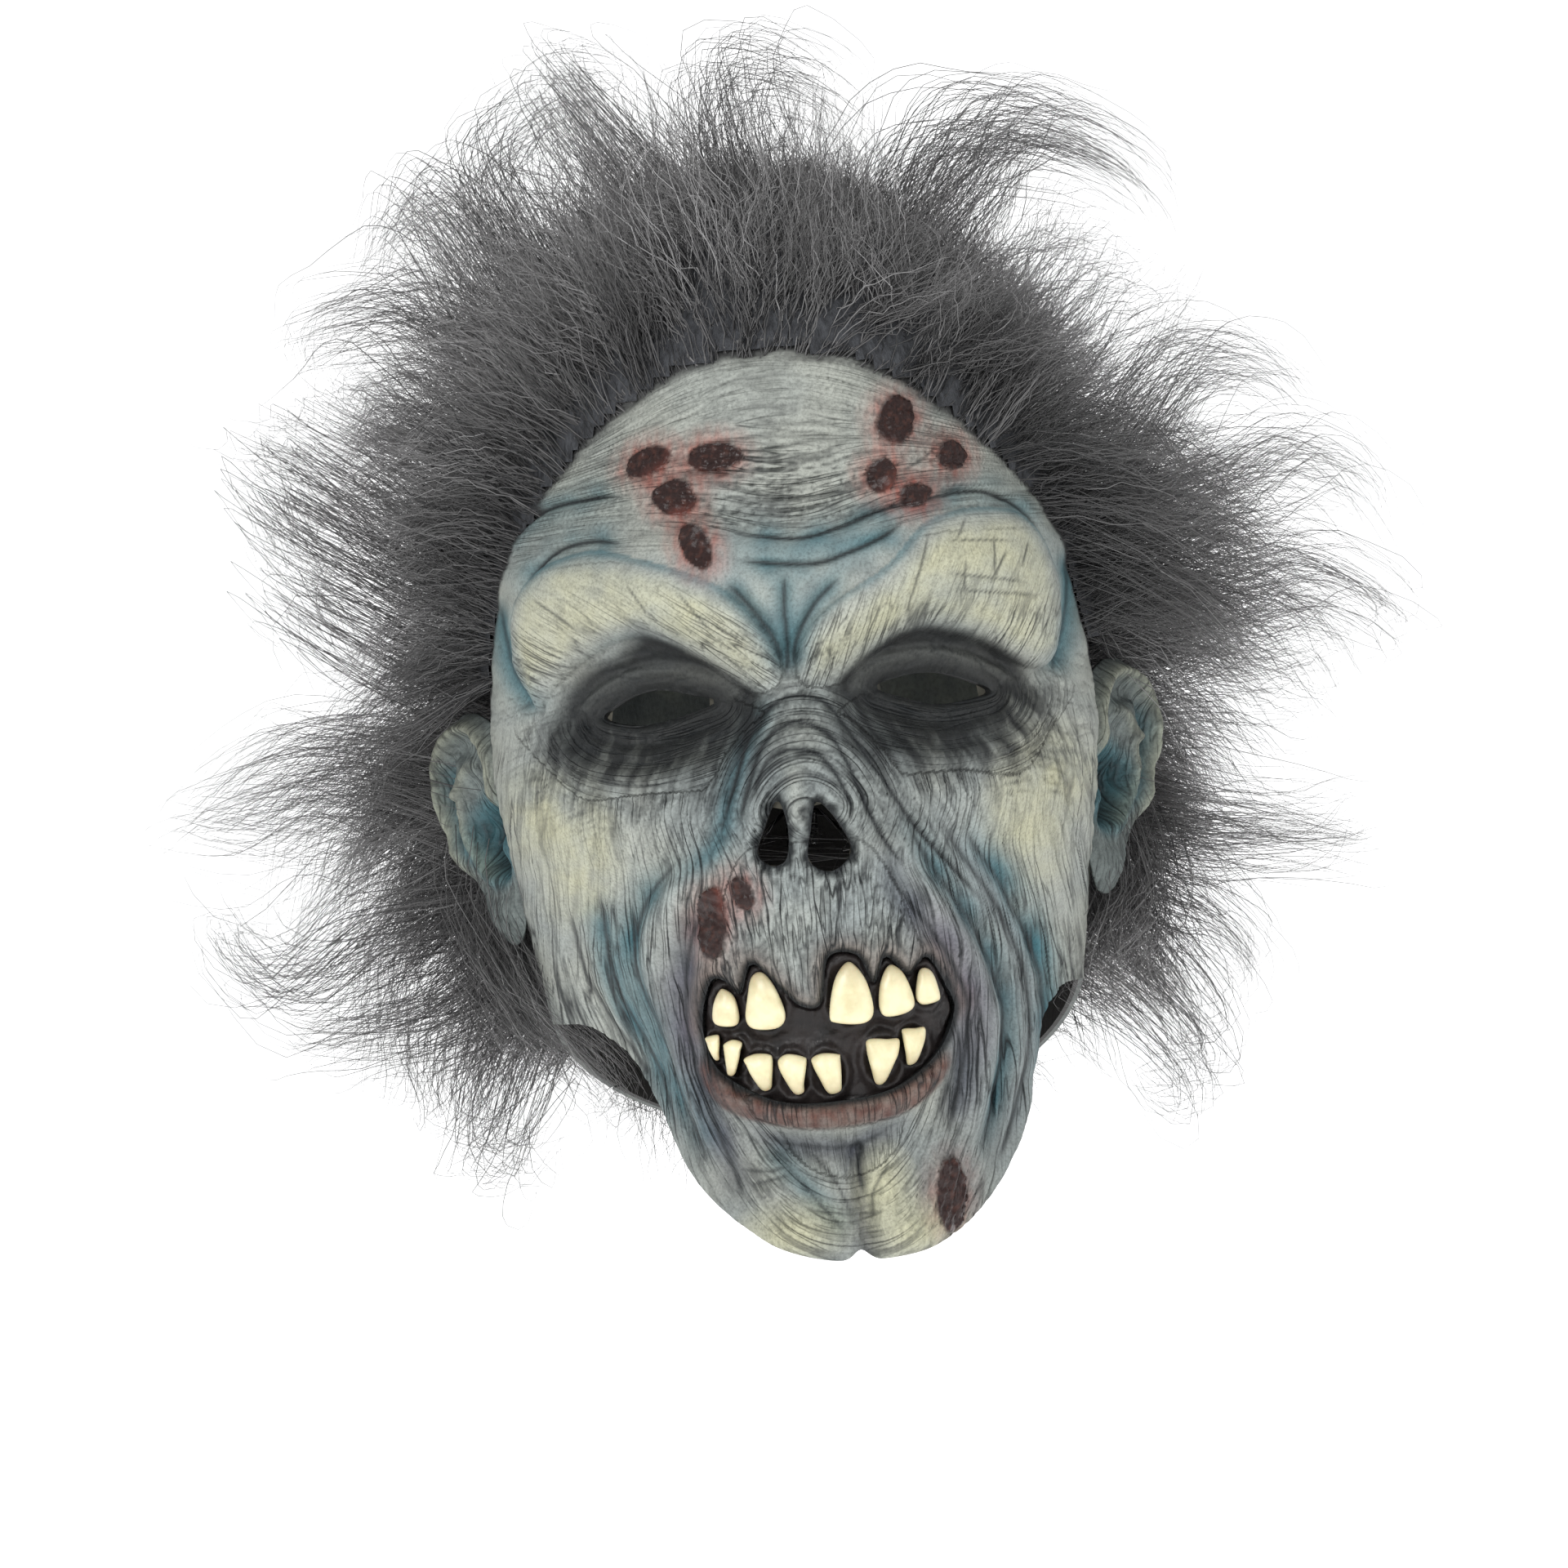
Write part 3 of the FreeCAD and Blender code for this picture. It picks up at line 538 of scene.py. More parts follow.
def sculpt(x, z):
    c = Canvas(x, z)
    for layer in (all_over, cheeks, brows_and_forehead, nose, muzzle, mouth_and_chin, eyes,
                  scratches, sores, settle):
        layer(c)
    return c


# The face as a surface --------------------------------------------------------------


def section(z):
    """Half the hood's width at a height."""
    low = RIM_HALF + (HALF - RIM_HALF) * z / WIDE_Z
    high = HALF * np.sqrt(np.clip(1 - ((z - WIDE_Z) / (TOP_Z - WIDE_Z)) ** 2, 0, 1))
    return np.where(z <= WIDE_Z, low, high)


def plain_radius(u, z):
    return section(z) / np.sqrt(np.sin(u) ** 2 + (np.cos(u) / LONG) ** 2)


def face_radius(u, z):
    plain = plain_radius(u, z)
    x = plain * np.sin(u)
    fade = 1 - smooth(np.abs(u), math.radians(66), math.radians(88))
    relief = sum(h * np.exp(-0.5 * (((x - cx) / sx) ** 2 + ((z - cz) / sz) ** 2))
                 for h, cx, cz, sx, sz in RELIEF)
    return plain + fade * relief


def jaw_edge(u):
    """The face's lower edge: squarer on the wearer's left, with two lobes under the chin."""
    near = 1 - smooth(np.abs(u), 0.6, 1.05)
    share = np.minimum(np.abs(u - 0.05 * near) / JAW_TURN, 1.0)
    share = np.where(u > 0.05, share ** (1 + 0.3 * near), share)
    notch = 2.4 * np.exp(-((u - 0.055) / 0.028) ** 2)
    return CHIN_Z + notch + (JAW_Z - CHIN_Z) * (1 - np.cos(math.pi * share)) / 2


def angle_of(x, z, u):
    """The angle at which the face's surface has a given x, starting from a guess."""
    for _ in range(5):
        now = face_radius(u, z) * np.sin(u)
        ahead = face_radius(u + 1e-4, z) * np.sin(u + 1e-4)
        u = u + np.clip((x - now) * 1e-4 / (ahead - now + 1e-12), -0.05, 0.05)
    return u


def place(r, u, z):
    return np.column_stack([r * np.sin(u), -r * np.cos(u), z])


def grid_quads(columns, rows):
    """Faces between points that are stored column after column."""
    corner = (np.arange(columns - 1)[:, None] * rows + np.arange(rows - 1)).ravel()
    return np.column_stack([corner, corner + rows, corner + rows + 1, corner + 1])


def ring_quads(rings, count):
    """Faces between points that are stored ring after ring."""
    grid = np.arange((rings - 1) * count)
    ahead = (grid + 1) % count + grid // count * count
    return np.column_stack([grid, grid + count, ahead + count, ahead])


def open_grid(us, rows):
    """A grid over the face with the eyes, nostrils and mouth left open, their edges smooth."""
    u = np.repeat(us, rows)
    v = np.tile(np.linspace(0, 1, rows), len(us))
    z = jaw_edge(u) + (SEAM_Z - jaw_edge(u)) * v
    quads = grid_quads(len(us), rows)
    x = face_radius(u, z) * np.sin(u)
    gone, owner = np.zeros(len(u), bool), np.full(len(u), -1)
    for k, line in enumerate(HOLES):
        at = np.flatnonzero((x > line[:, 0].min()) & (x < line[:, 0].max())
                            & (z > line[:, 1].min()) & (z < line[:, 1].max())
                            & (np.abs(u) < 1.2))
        hit = at[within(line, x[at], z[at])]
        gone[hit], owner[hit] = True, k
    quads = quads[~gone[quads].all(1)]
    used = np.zeros(len(u), bool)
    used[quads.ravel()] = True
    for k, line in enumerate(HOLES):
        edge = np.flatnonzero(gone & used & (owner == k))
        _, qx, qz, _ = nearest(line, x[edge], z[edge], closed=True)
        u[edge] = angle_of(qx, qz, u[edge])
        z[edge] = qz
    keep = np.flatnonzero(used)
    renumber = np.full(len(u), -1)
    renumber[keep] = np.arange(len(keep))
    return u[keep], z[keep], renumber[quads]


def border(quads):
    """Directed edges that only one face uses."""
    edges = np.vstack([quads[:, [k, (k + 1) % 4]] for k in range(4)])
    key = np.sort(edges, 1)
    _, first, count = np.unique(key[:, 0] * 10 ** 7 + key[:, 1], return_index=True, return_counts=True)
    return edges[first[count == 1]]


def mesh_piece(name, verts, faces, materials=(), smooth_shade=True, index=None, check=True):
    """A mesh object from points in mm and faces of three or four corners."""
    faces = np.asarray(faces)
    mesh = bpy.data.meshes.new(name)
    mesh.vertices.add(len(verts))
    mesh.vertices.foreach_set("co", (np.asarray(verts) * MM).astype(np.float32).ravel())
    mesh.loops.add(faces.size)
    mesh.loops.foreach_set("vertex_index", faces.ravel().astype(np.int32))
    mesh.polygons.add(len(faces))
    mesh.polygons.foreach_set("loop_start", np.arange(0, faces.size, faces.shape[1], dtype=np.int32))
    if smooth_shade:
        mesh.polygons.foreach_set("use_smooth", np.ones(len(faces), bool))
    if index is not None:
        mesh.polygons.foreach_set("material_index", np.asarray(index, np.int32))
    mesh.update(calc_edges=True)
    if check:
        mesh.validate()
    for material in materials:
        mesh.materials.append(material)
    piece = bpy.data.objects.new(name, mesh)
    bpy.context.scene.collection.objects.link(piece)
    return piece


def store(piece, name, values):
    """A number or a colour at each point, for the material."""
    values = np.asarray(values, np.float32)
    if name == "grain":
        layer = piece.data.attributes.new(name, "FLOAT_VECTOR", "POINT")
        layer.data.foreach_set("vector", values.ravel())
    elif values.ndim == 2:
        layer = piece.data.attributes.new(name, "FLOAT_COLOR", "POINT")
        opaque = np.ones(len(values), np.float32)
        layer.data.foreach_set("color", np.column_stack([values, opaque]).ravel())
    else:
        layer = piece.data.attributes.new(name, "FLOAT", "POINT")
        layer.data.foreach_set("value", values)


# Materials ---------------------------------------------------------------------------


class Nodes:
    """A short way to build a material's node tree."""

    def __init__(self, name):
        self.material = bpy.data.materials.new(name)
        self.material.use_nodes = True
        self.tree = self.material.node_tree
        self.shader = self.tree.nodes["Principled BSDF"]

    def add(self, kind, inputs=None, **settings):
        node = self.tree.nodes.new(kind)
        for key, value in settings.items():
            setattr(node, key, value)
        for key, value in (inputs or {}).items():
            self.link(value, node.inputs[key])
        return node

    def link(self, value, socket):
        if isinstance(value, bpy.types.NodeSocket):
            self.tree.links.new(value, socket)
        else:
            socket.default_value = value

    def set(self, **inputs):
        for key, value in inputs.items():
            self.link(value, self.shader.inputs[key.replace("_", " ")])

    def attribute(self, name, output="Fac"):
        return self.add("ShaderNodeAttribute", attribute_name=name).outputs[output]

    def math(self, operation, a, b):
        return self.add("ShaderNodeMath", {0: a, 1: b}, operation=operation).outputs[0]

    def place(self):
        return self.add("ShaderNodeTexCoord").outputs["Object"]

    def noise(self, scale, detail=3.0, roughness=0.6, stretch=(1, 1, 1)):
        place = self.place()
        bent = self.add("ShaderNodeMapping", {"Vector": place, "Scale": stretch})
        node = self.add("ShaderNodeTexNoise", {"Vector": bent.outputs[0], "Scale": scale,
                                               "Detail": detail, "Roughness": roughness})
        return node.outputs["Fac"]

    def ramp(self, value, stops):
        node = self.add("ShaderNodeValToRGB", {"Fac": value})
        ramp = node.color_ramp
        while len(ramp.elements) < len(stops):
            ramp.elements.new(0.5)
        for element, (where, colour) in zip(ramp.elements, stops):
            element.position = where
            element.color = (*colour, 1.0) if len(colour) == 3 else (*([colour[0]] * 3), 1.0)
        return node.outputs["Color"]

    def mix(self, amount, a, b, blend="MIX"):
        node = self.add("ShaderNodeMix", data_type="RGBA", blend_type=blend)
        for key, value in ((0, amount), (6, a), (7, b)):
            if isinstance(value, np.ndarray):
                value = (*value, 1.0)
            self.link(value, node.inputs[key])
        return node.outputs[2]

    def span(self, value, low, high, to_low, to_high):
        node = self.add("ShaderNodeMapRange", {"Value": value, "From Min": low, "From Max": high,
                                               "To Min": to_low, "To Max": to_high})
        return node.outputs[0]

    def bump(self, height, strength, distance, under=None):
        inputs = {"Height": height, "Strength": strength, "Distance": distance}
        if under is not None:
            inputs["Normal"] = under
        return self.add("ShaderNodeBump", inputs).outputs[0]


def painted_latex():
    n = Nodes("painted_latex")
    paint, wet, etch = n.attribute("paint", "Color"), n.attribute("wet"), n.attribute("etch")
    grain = n.attribute("grain", "Vector")
    stipple = n.noise(1500, 2.0, 0.7)
    pores = n.noise(620, 4.0, 0.65)
    shade = n.ramp(stipple, [(0.34, (0.72,)), (0.5, (1.0,)), (0.68, (1.14,))])
    painted = n.mix(0.85, paint, shade, "MULTIPLY")
    lines = []
    # pitch and run of the lines, mm, how wide and how dark they are
    for pitch, run, width, strength in ((3.1, 30.0, 0.03, 1.0), (1.5, 16.0, 0.036, 0.62)):
        bent = n.add("ShaderNodeMapping", {"Vector": grain, "Scale": (1 / pitch, 1 / run, 1.0)})
        field = n.add("ShaderNodeTexNoise", {"Vector": bent.outputs[0], "Scale": 1.0, "Detail": 1.5,
                                             "Roughness": 0.5}).outputs["Fac"]
        thread = n.ramp(field, [(0.5 - width, (0.0,)), (0.5, (strength,)), (0.5 + width, (0.0,))])
        lines.append(thread)
    broken = n.span(n.noise(90, 3.0), 0.38, 0.56, 0.25, 1.0)
    deep = n.math("MULTIPLY", n.math("MULTIPLY", n.math("MAXIMUM", *lines), broken), etch)
    n.set(Base_Color=n.mix(n.span(deep, 0, 1, 0, 0.94), painted, WASH),
          Roughness=n.span(wet, 0, 1, 0.56, 0.24), Specular_IOR_Level=0.24)
    carved = n.add("ShaderNodeBump", {"Height": deep, "Strength": 0.9, "Distance": 0.0007}, invert=True)
    n.set(Normal=n.bump(pores, 0.35, 0.0006, carved.outputs[0]))
    return n.material


def bare_latex():
    n = Nodes("bare_latex")
    blotch = n.noise(38, 5.0)
    speck = n.noise(900, 3.0)
    base = n.ramp(blotch, [(0.3, srgb(66, 71, 72)), (0.5, srgb(90, 95, 92)),
                           (0.7, srgb(116, 119, 110))])
    base = n.mix(0.6, base, n.ramp(speck, [(0.38, (0.62,)), (0.55, (1.0,))]), "MULTIPLY")
    # darker on the inside, where no light falls while the mask is closed
    spot = n.add("ShaderNodeSeparateXYZ", {"Vector": n.place()}).outputs
    shorter = n.span(spot["Y"], -LONG, LONG, -1.0, 1.0)
    squeezed = n.add("ShaderNodeCombineXYZ", {"X": spot["X"], "Y": shorter})
    around = n.add("ShaderNodeVectorMath", {0: squeezed.outputs[0]}, operation="LENGTH").outputs["Value"]
    wall = n.span(spot["Z"], 0.0, WIDE_Z * MM, (RIM_HALF - HALF_WALL) * MM, (HALF - HALF_WALL) * MM)
    low = n.math("LESS_THAN", spot["Z"], WIDE_Z * MM)
    base = n.mix(n.math("MULTIPLY", n.math("LESS_THAN", around, wall), low), base, srgb(20, 19, 17))
    wrinkle = n.noise(160, 6.0, 0.6, (1, 1, 0.35))
    n.set(Base_Color=base, Roughness=n.span(blotch, 0.3, 0.7, 0.62, 0.5), Specular_IOR_Level=0.4,
          Normal=n.bump(wrinkle, 0.5, 0.0015, n.bump(speck, 0.2, 0.0004)))
    return n.material


def inner_latex_painted_shade():
    n = Nodes("inner_latex_painted_shade")
    blotch = n.noise(30, 4.0)
    # the latex's own colour made darker: painted shade for the inside seen through the eye, nostril and
    # mouth holes
    base = n.ramp(blotch, [(0.3, srgb(58, 57, 50)), (0.7, srgb(84, 81, 70))])
    n.set(Base_Color=base, Roughness=0.7, Normal=n.bump(n.noise(420, 4.0), 0.3, 0.0008))
    return n.material


def build_face(skin, inside):
    front = np.linspace(-math.radians(60), math.radians(60), 381)
    left = np.linspace(-math.pi / 2, -math.radians(60), 37)[:-1]
    us = np.concatenate([left, front, -left[::-1]])
    u, z, quads = open_grid(us, 380)
    r = face_radius(u, z)
    c = sculpt(r * np.sin(u), z)
    outer = place(r + c.form + c.fine, u, z)
    # behind the hairline the latex is painted dark grey: painted shade under the wig
    grown = smooth(past_hairline(outer[:, 1], z) - 2.0 * noise(outer[:, 0] / 9, z / 9, 301), -2.5, 3.0)
    c.paint(UNDER_HAIR_SHADE, 0.95 * grown)
    c.etch *= 1 - grown
    rim = border(quads)
    ring = np.unique(rim)
    renumber = np.full(len(u), -1)
    renumber[ring] = np.arange(len(ring)) + len(u)
    lip_out = outer[ring]
    lip_in = place(r[ring] + c.form[ring] - LATEX, u[ring], z[ring])
    a, b = renumber[rim[:, 0]], renumber[rim[:, 1]]
    strip = np.column_stack([b, a, a + len(ring), b + len(ring)])
    ui, zi, inner_quads = open_grid(np.linspace(-math.pi / 2, math.pi / 2, 260), 160)
    ri = face_radius(ui, zi)
    ci = sculpt(ri * np.sin(ui), zi)
    inner = place(ri + ci.form - LATEX, ui, zi)
    start = len(u) + 2 * len(ring)
    verts = np.vstack([outer, lip_out, lip_in, inner])
    faces = np.vstack([quads, strip, inner_quads[:, ::-1] + start])
    index = np.concatenate([np.zeros(len(quads) + len(strip)), np.ones(len(inner_quads))])
    face = mesh_piece("painted_face", verts, faces, (skin, inside), index=index)
    dark = np.tile(CHARCOAL, (len(ring), 1))
    store(face, "paint", np.vstack([c.colour, c.colour[ring], dark, ci.colour]))
    store(face, "wet", np.concatenate([c.wet, np.zeros(2 * len(ring)), ci.wet]))
    store(face, "etch", np.concatenate([c.etch, np.zeros(2 * len(ring)), ci.etch]))
    store(face, "grain", np.vstack([c.grain, c.grain[ring], c.grain[ring], ci.grain]))
    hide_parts("face_skin")
    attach(face, "mask")


# Mouth -----------------------------------------------------------------------------------

UPPER = [(-.5, -.30), (-.28, -.5), (.30, -.48), (.5, -.28), (.32, .25), (.02, .5), (-.25, .42), (-.42, .1)]
LOWER = [(-.5, .42), (-.1, .5), (.42, .46), (.5, .3), (.42, -.2), (.34, -.5), (.02, -.48), (-.3, -.1),
         (-.46, .2)]
TOOTH_RINGS = [0.0, 0.25, 0.5, 0.7, 0.84, 0.93, 0.98, 1.0]


def tooth_box(name):
    low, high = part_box(name)
    return np.array(low) / MM, np.array(high) / MM


def build_tooth(name, enamel, rng):
    """One hollow-cast tooth: a domed face, rounded edges and sides that run back into the gums."""
    low, high = tooth_box(name)
    outline = np.array(UPPER if name.startswith("upper") else LOWER)
    if name.startswith("lower") and low[0] > 0 or rng.random() < 0.3:
        outline = outline * (-1, 1)
    outline = outline + rng.normal(0, 0.022, outline.shape)
    line = spline(outline, True, 6)
    line = line * ((high[0] - low[0]) * 1.04, (high[2] - low[2]) * 1.04)
    centre = (low + high) / 2
    count = len(line)
    rows = []
    for ring in TOOTH_RINGS:
        sink = 1.9 * (1 - math.sqrt(max(0.0, 1 - ring ** 3.2)))
        rows.append((ring, low[1] + 0.1 + sink))
    rows += [(1.0, low[1] + 3.2), (0.96, high[1])]
    turn = math.atan2(centre[0], 95.0)
    verts = []
    for ring, y in rows:
        x, z = line[:, 0] * ring, line[:, 1] * ring
        lump = 0.16 * noise(x / 1.9 + centre[0], z / 2.6 + centre[2], 401)
        verts.append(np.column_stack([centre[0] + x, y + lump + x * math.tan(turn), centre[2] + z]))
    verts = np.vstack(verts)
    faces = ring_quads(len(rows), count)
    if np.cross(line[0], line[1]) > 0:
        faces = faces[:, ::-1]
    piece = mesh_piece(name.replace("tooth", "cast_tooth"), verts, faces[:, ::-1], (enamel,))
    upward = 1 if name.startswith("upper") else -1
    root = smooth((verts[:, 2] - centre[2]) * upward, 0.1, 0.62 * (high[2] - low[2]))
    deep = smooth(verts[:, 1] - low[1], 1.2, 4.0)
    store(piece, "stain", np.clip(0.5 * root + 0.9 * deep, 0, 1))
    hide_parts(name)
    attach(piece, "mask")


def build_gums(dark):
    u, z = np.meshgrid(np.linspace(-math.radians(27), math.radians(27), 190), np.linspace(21, 67, 130),
                       indexing="ij")
    shape = u.shape
    u, z = u.ravel(), z.ravel()
    r = face_radius(u, z)
    x = r * np.sin(u)
    c = Canvas(x, z)
    for layer in (muzzle, mouth_and_chin):
        layer(c)
    ruck = np.zeros(len(x))
    for name in TEETH:
        low, high = tooth_box(name)
        middle, half = (low + high) / 2, (high - low) / 2
        away = np.hypot((x - middle[0]) / (half[0] + 1.2), (z - middle[2]) / (half[2] + 1.2))
        ruck = np.maximum(ruck, np.exp(-((away - 1.0) / 0.24) ** 2))
    depth = 3.0 - np.minimum(0, c.form) - 1.5 * ruck
    depth += 0.35 * layered(x / 3.2, z / 3.2, 411) - 0.2 * cracks(x / 1.6, z / 7, 413, 0.3)
    front = place(r - np.clip(depth, 0.9, 9), u, z)
    rear = place(r - np.clip(depth, 0.9, 9) - 1.6, u, z)
    quads = grid_quads(*shape)
    rim = border(quads)
    strip = np.column_stack([rim[:, 1], rim[:, 0], rim[:, 0] + len(u), rim[:, 1] + len(u)])
    gums = mesh_piece("gums", np.vstack([front, rear]), np.vstack([quads, strip, quads[:, ::-1] + len(u)]),
                      (dark,))
    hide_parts("gum_plate")
    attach(gums, "mask")


TEETH = ["upper_tooth_%d" % k for k in range(1, 6)] + ["lower_tooth_%d" % k for k in range(1, 8)]


def enamel_paint():
    n = Nodes("cast_enamel")
    stain = n.attribute("stain")
    cloud = n.noise(260, 3.0)
    clean = n.ramp(cloud, [(0.3, srgb(206, 196, 156)), (0.65, srgb(226, 217, 180))])
    n.set(Base_Color=n.mix(stain, clean, srgb(120, 100, 66)), Roughness=0.34,
          Specular_IOR_Level=0.5, Subsurface_Weight=0.12, Subsurface_Scale=0.002)
    n.set(Normal=n.bump(n.noise(900, 3.0, 0.6, (1, 1, 0.3)), 0.12, 0.0004))
    return n.material


def gum_paint():
    n = Nodes("gum_paint")
    cloud = n.noise(170, 4.0)
    n.set(Base_Color=n.ramp(cloud, [(0.3, srgb(20, 18, 18)), (0.75, srgb(44, 38, 37))]),
          Roughness=n.span(cloud, 0.3, 0.7, 0.36, 0.56), Specular_IOR_Level=0.3)
    n.set(Normal=n.bump(n.noise(520, 4.0), 0.35, 0.0007))
    return n.material


# Ears ------------------------------------------------------------------------------------

EAR_OUTLINE = [(-13, 17), (-9, 25), (0, 29), (10, 27), (17, 18), (17.5, 7), (14, -4), (9, -13), (4, -22),
               (-2, -27), (-8, -25.5), (-11, -18), (-11, -8), (-11.5, 4)]
HELIX = [(-7, 3), (-10, 10), (-10, 18), (-5, 24), (1, 26), (9, 23.5), (14, 16), (14.5, 7), (11, -4),
         (6.5, -13)]
ANTIHELIX = [(-3, 17), (3, 15), (6.5, 8), (5.5, -1), (1, -9), (-5, -12)]
FORK = [(5, 19), (8, 14), (7, 8)]
TRAGUS, LOBE = (-9.5, -3), (-3, -20)


def build_ear(side, skin):
    """A cupped ear: a: front to back, b: up, h: how far its surface stands towards the side."""
    line = spline(EAR_OUTLINE, True, 8)
    count, rings = len(line), 34
    hub = np.array([-1.0, 3.0])
    share = np.linspace(0.0, 1.0, rings) ** 0.8
    flat = hub + (line - hub)[None] * share[:, None, None]
    a, b = flat[..., 0].ravel(), flat[..., 1].ravel()
    c = Canvas(a, b)
    c.paint(EAR, np.ones(len(a)))
    c.form += 0.004 * (a + 11) ** 2 - 0.9
    for points, height, width in ((HELIX, 4.6, 2.5), (ANTIHELIX, 3.8, 2.6), (FORK, 2.4, 1.9)):
        c.form += height * c.stroke(points, width, 0.12)
    c.form -= 7.5 * smooth(c.mound(-3.5, -1.5, 9.5, 12.5), 0.0, 0.75)
    c.form -= 2.4 * c.mound(10.5, 8, 4.2, 14, 0.25)
    c.form += 5.0 * np.exp(-(((a - TRAGUS[0]) / 3.4) ** 2 + ((b - TRAGUS[1]) / 4.6) ** 2))
    c.form += 2.6 * np.exp(-(((a - LOBE[0]) / 6) ** 2 + ((b - LOBE[1]) / 6) ** 2))
    c.form += 0.4 * layered(a / 5, b / 5, 421 + side)
    lines = cracks(a / 1.5, b / 9, 423 + side, 0.2)
    c.fine -= 0.22 * lines
    c.paint(TEAL, 0.75 * smooth(c.mound(-3.5, -1.5, 11.5, 14.5), 0.02, 0.4))
    c.paint(TEAL, 0.6 * c.stroke([(9, 19), (11.5, 10), (9, 0), (4, -10)], 2.4))
    c.paint(CHARCOAL, 0.95 * smooth(c.mound(-4, -2, 9, 12), 0.1, 0.6))
    c.paint(CREAM, 0.4 * c.stroke(HELIX, 1.6, 0.1) + 0.3 * c.stroke(ANTIHELIX, 1.3))
    c.soak(0.7 * lines)
    c.etching(a, b, 19, np.full(len(a), 0.7))
    c.soak(0.35 * smooth(layered(a / 3, b / 4, 425 + side), -0.2, 0.7))
    c.paint(WASH, 0.8 * c.wash)
    turned = np.repeat(share, count)
    height = c.form + c.fine
    curl = smooth(turned, 0.86, 1.0)
    lean, tip = math.radians(27), math.radians(10)
    across = np.array([side * math.sin(lean), math.cos(lean), 0.0])
    out = np.array([side * math.cos(lean), -math.sin(lean), 0.0])
    up = np.array([side * 0.06, math.sin(tip), math.cos(tip)])
    foot = np.array([side * 74.5, -2.0, 94.0])

    def spot(h):
        return foot + a[:, None] * across + b[:, None] * up + h[:, None] * out

    front = spot(height - 1.3 * curl)
    rear = spot(height * (1 - 0.45 * curl) - 2.6 + 0.7 * curl)
    quads = ring_quads(rings, count)[:, [0, 3, 2, 1]]
    last = (rings - 1) * count + np.arange(count)
    after = (rings - 1) * count + (np.arange(count) + 1) % count
    total = len(a)
    strip = np.column_stack([last, after, after + total, last + total])
    faces = np.vstack([quads, strip, quads[:, ::-1] + total])
    if side > 0:
        faces = faces[:, ::-1]
    name = "left_ear" if side > 0 else "right_ear"
    piece = mesh_piece("%s_cast" % name, np.vstack([front, rear]), faces, (skin,))
    # the back of the ear takes the front's paint at 0.8 brightness: painted shade
    store(piece, "paint", np.vstack([c.colour, c.colour * 0.8]))
    store(piece, "wet", np.zeros(2 * total))
    store(piece, "etch", np.tile(c.etch, 2))
    store(piece, "grain", np.tile(c.grain, (2, 1)))
    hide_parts(name)
    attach(piece, "mask")


# Inside ----------------------------------------------------------------------------------


THREADS = 900.0     # of the cloth, per metre of wave


def woven(name, warp, weft, count):
    """Plain weave: threads over and under each other."""
    n = Nodes(name)
    place = n.place()
    waves = []
    for axis in ("X", "Z"):
        waves.append(n.add("ShaderNodeTexWave", {"Vector": place, "Scale": count, "Distortion": 0.6,
                                                 "Detail": 1.0}, bands_direction=axis).outputs["Fac"])
    cross = n.math("MULTIPLY", *waves)
    n.set(Base_Color=n.mix(waves[0], warp, weft), Roughness=0.85, Sheen_Weight=0.2,
          Normal=n.bump(cross, 0.6, 0.0004))
    return n.material


def foam():
    n = Nodes("open_foam")
    cells = n.add("ShaderNodeTexVoronoi", {"Scale": 900.0}).outputs["Distance"]
    n.set(Base_Color=n.ramp(cells, [(0.1, srgb(40, 41, 44)), (0.6, srgb(78, 80, 84))]),
          Roughness=0.95, Normal=n.bump(cells, 0.7, 0.0008))
    return n.material


def build_pad(material):
    """The brow pad: a strip of foam with pressed, rounded edges, crowned towards the forehead."""
    across = np.linspace(-1, 1, 120)
    turn = np.linspace(0, 2 * math.pi, 48, endpoint=False)
    a, t = np.meshgrid(across, turn, indexing="ij")
    full = np.clip(1 - np.abs(a) ** 14, 0, 1) ** 0.5
    square = (np.abs(np.cos(t)) ** 6 + np.abs(np.sin(t)) ** 6) ** (-1 / 6)
    u = math.radians(26.6) * a
    z = 167.5 + 10.2 * square * np.sin(t) * (0.72 + 0.28 * full)
    skin = face_radius(u.ravel(), z.ravel()).reshape(u.shape)
    thick = 3.3 * square * np.cos(t) * full
    dip = 0.35 * noise(u * 30, z / 8, 431)
    r = skin - 2.7 - 3.5 + thick + dip * (np.cos(t) < 0)
    verts = place(r.ravel(), u.ravel(), z.ravel())
    pad = mesh_piece("foam_brow_pad", verts, ring_quads(*a.shape), (material,))
    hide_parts("brow_pad")
    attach(pad, "mask")


def finish_cad(names, material):
    """CAD pieces that are shown as they are, with a material of their own."""
    for name in names:
        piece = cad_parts[name]
        piece.data.materials.clear()
        piece.data.materials.append(material)


# Wig -----------------------------------------------------------------------------------

MIDDLE = np.array([-5.0, 143.0])     # x, z from which the wig spreads
# Front outlines of the thick fur and of its loose ends, x and z
THICK = [(-50, 24), (-76, 39), (-97, 56), (-120, 67), (-128, 86), (-121, 104), (-115, 122),
         (-104, 140), (-103, 158), (-106, 184), (-102, 208), (-84, 225), (-60, 237), (-36, 247),
         (-11, 249), (25, 241), (52, 229), (78, 212), (100, 184), (127, 157), (134, 127),
         (122, 101), (99, 70), (74, 53), (45, 26), (0, 8)]
LOOSE = [(-74, 15), (-85, 26), (-125, 50), (-135, 72), (-136, 88), (-155, 102), (-122, 122),
         (-112, 150), (-118, 176), (-125, 189), (-110, 211), (-97, 226), (-78, 250), (-62, 262),
         (-38, 270), (-6, 268), (8, 263), (26, 255), (54, 249), (77, 241), (94, 225), (102, 214),
         (123, 190), (139, 159), (144, 137), (140, 109), (132, 82), (112, 69), (97, 54), (84, 25),
         (0, 2)]
WIG_Y, WIG_DEPTH = 10.0, 122.0
HAIRLINE = (-71.0, 199.0, 0.787)     # the fur starts behind y = first + (second - z) * third
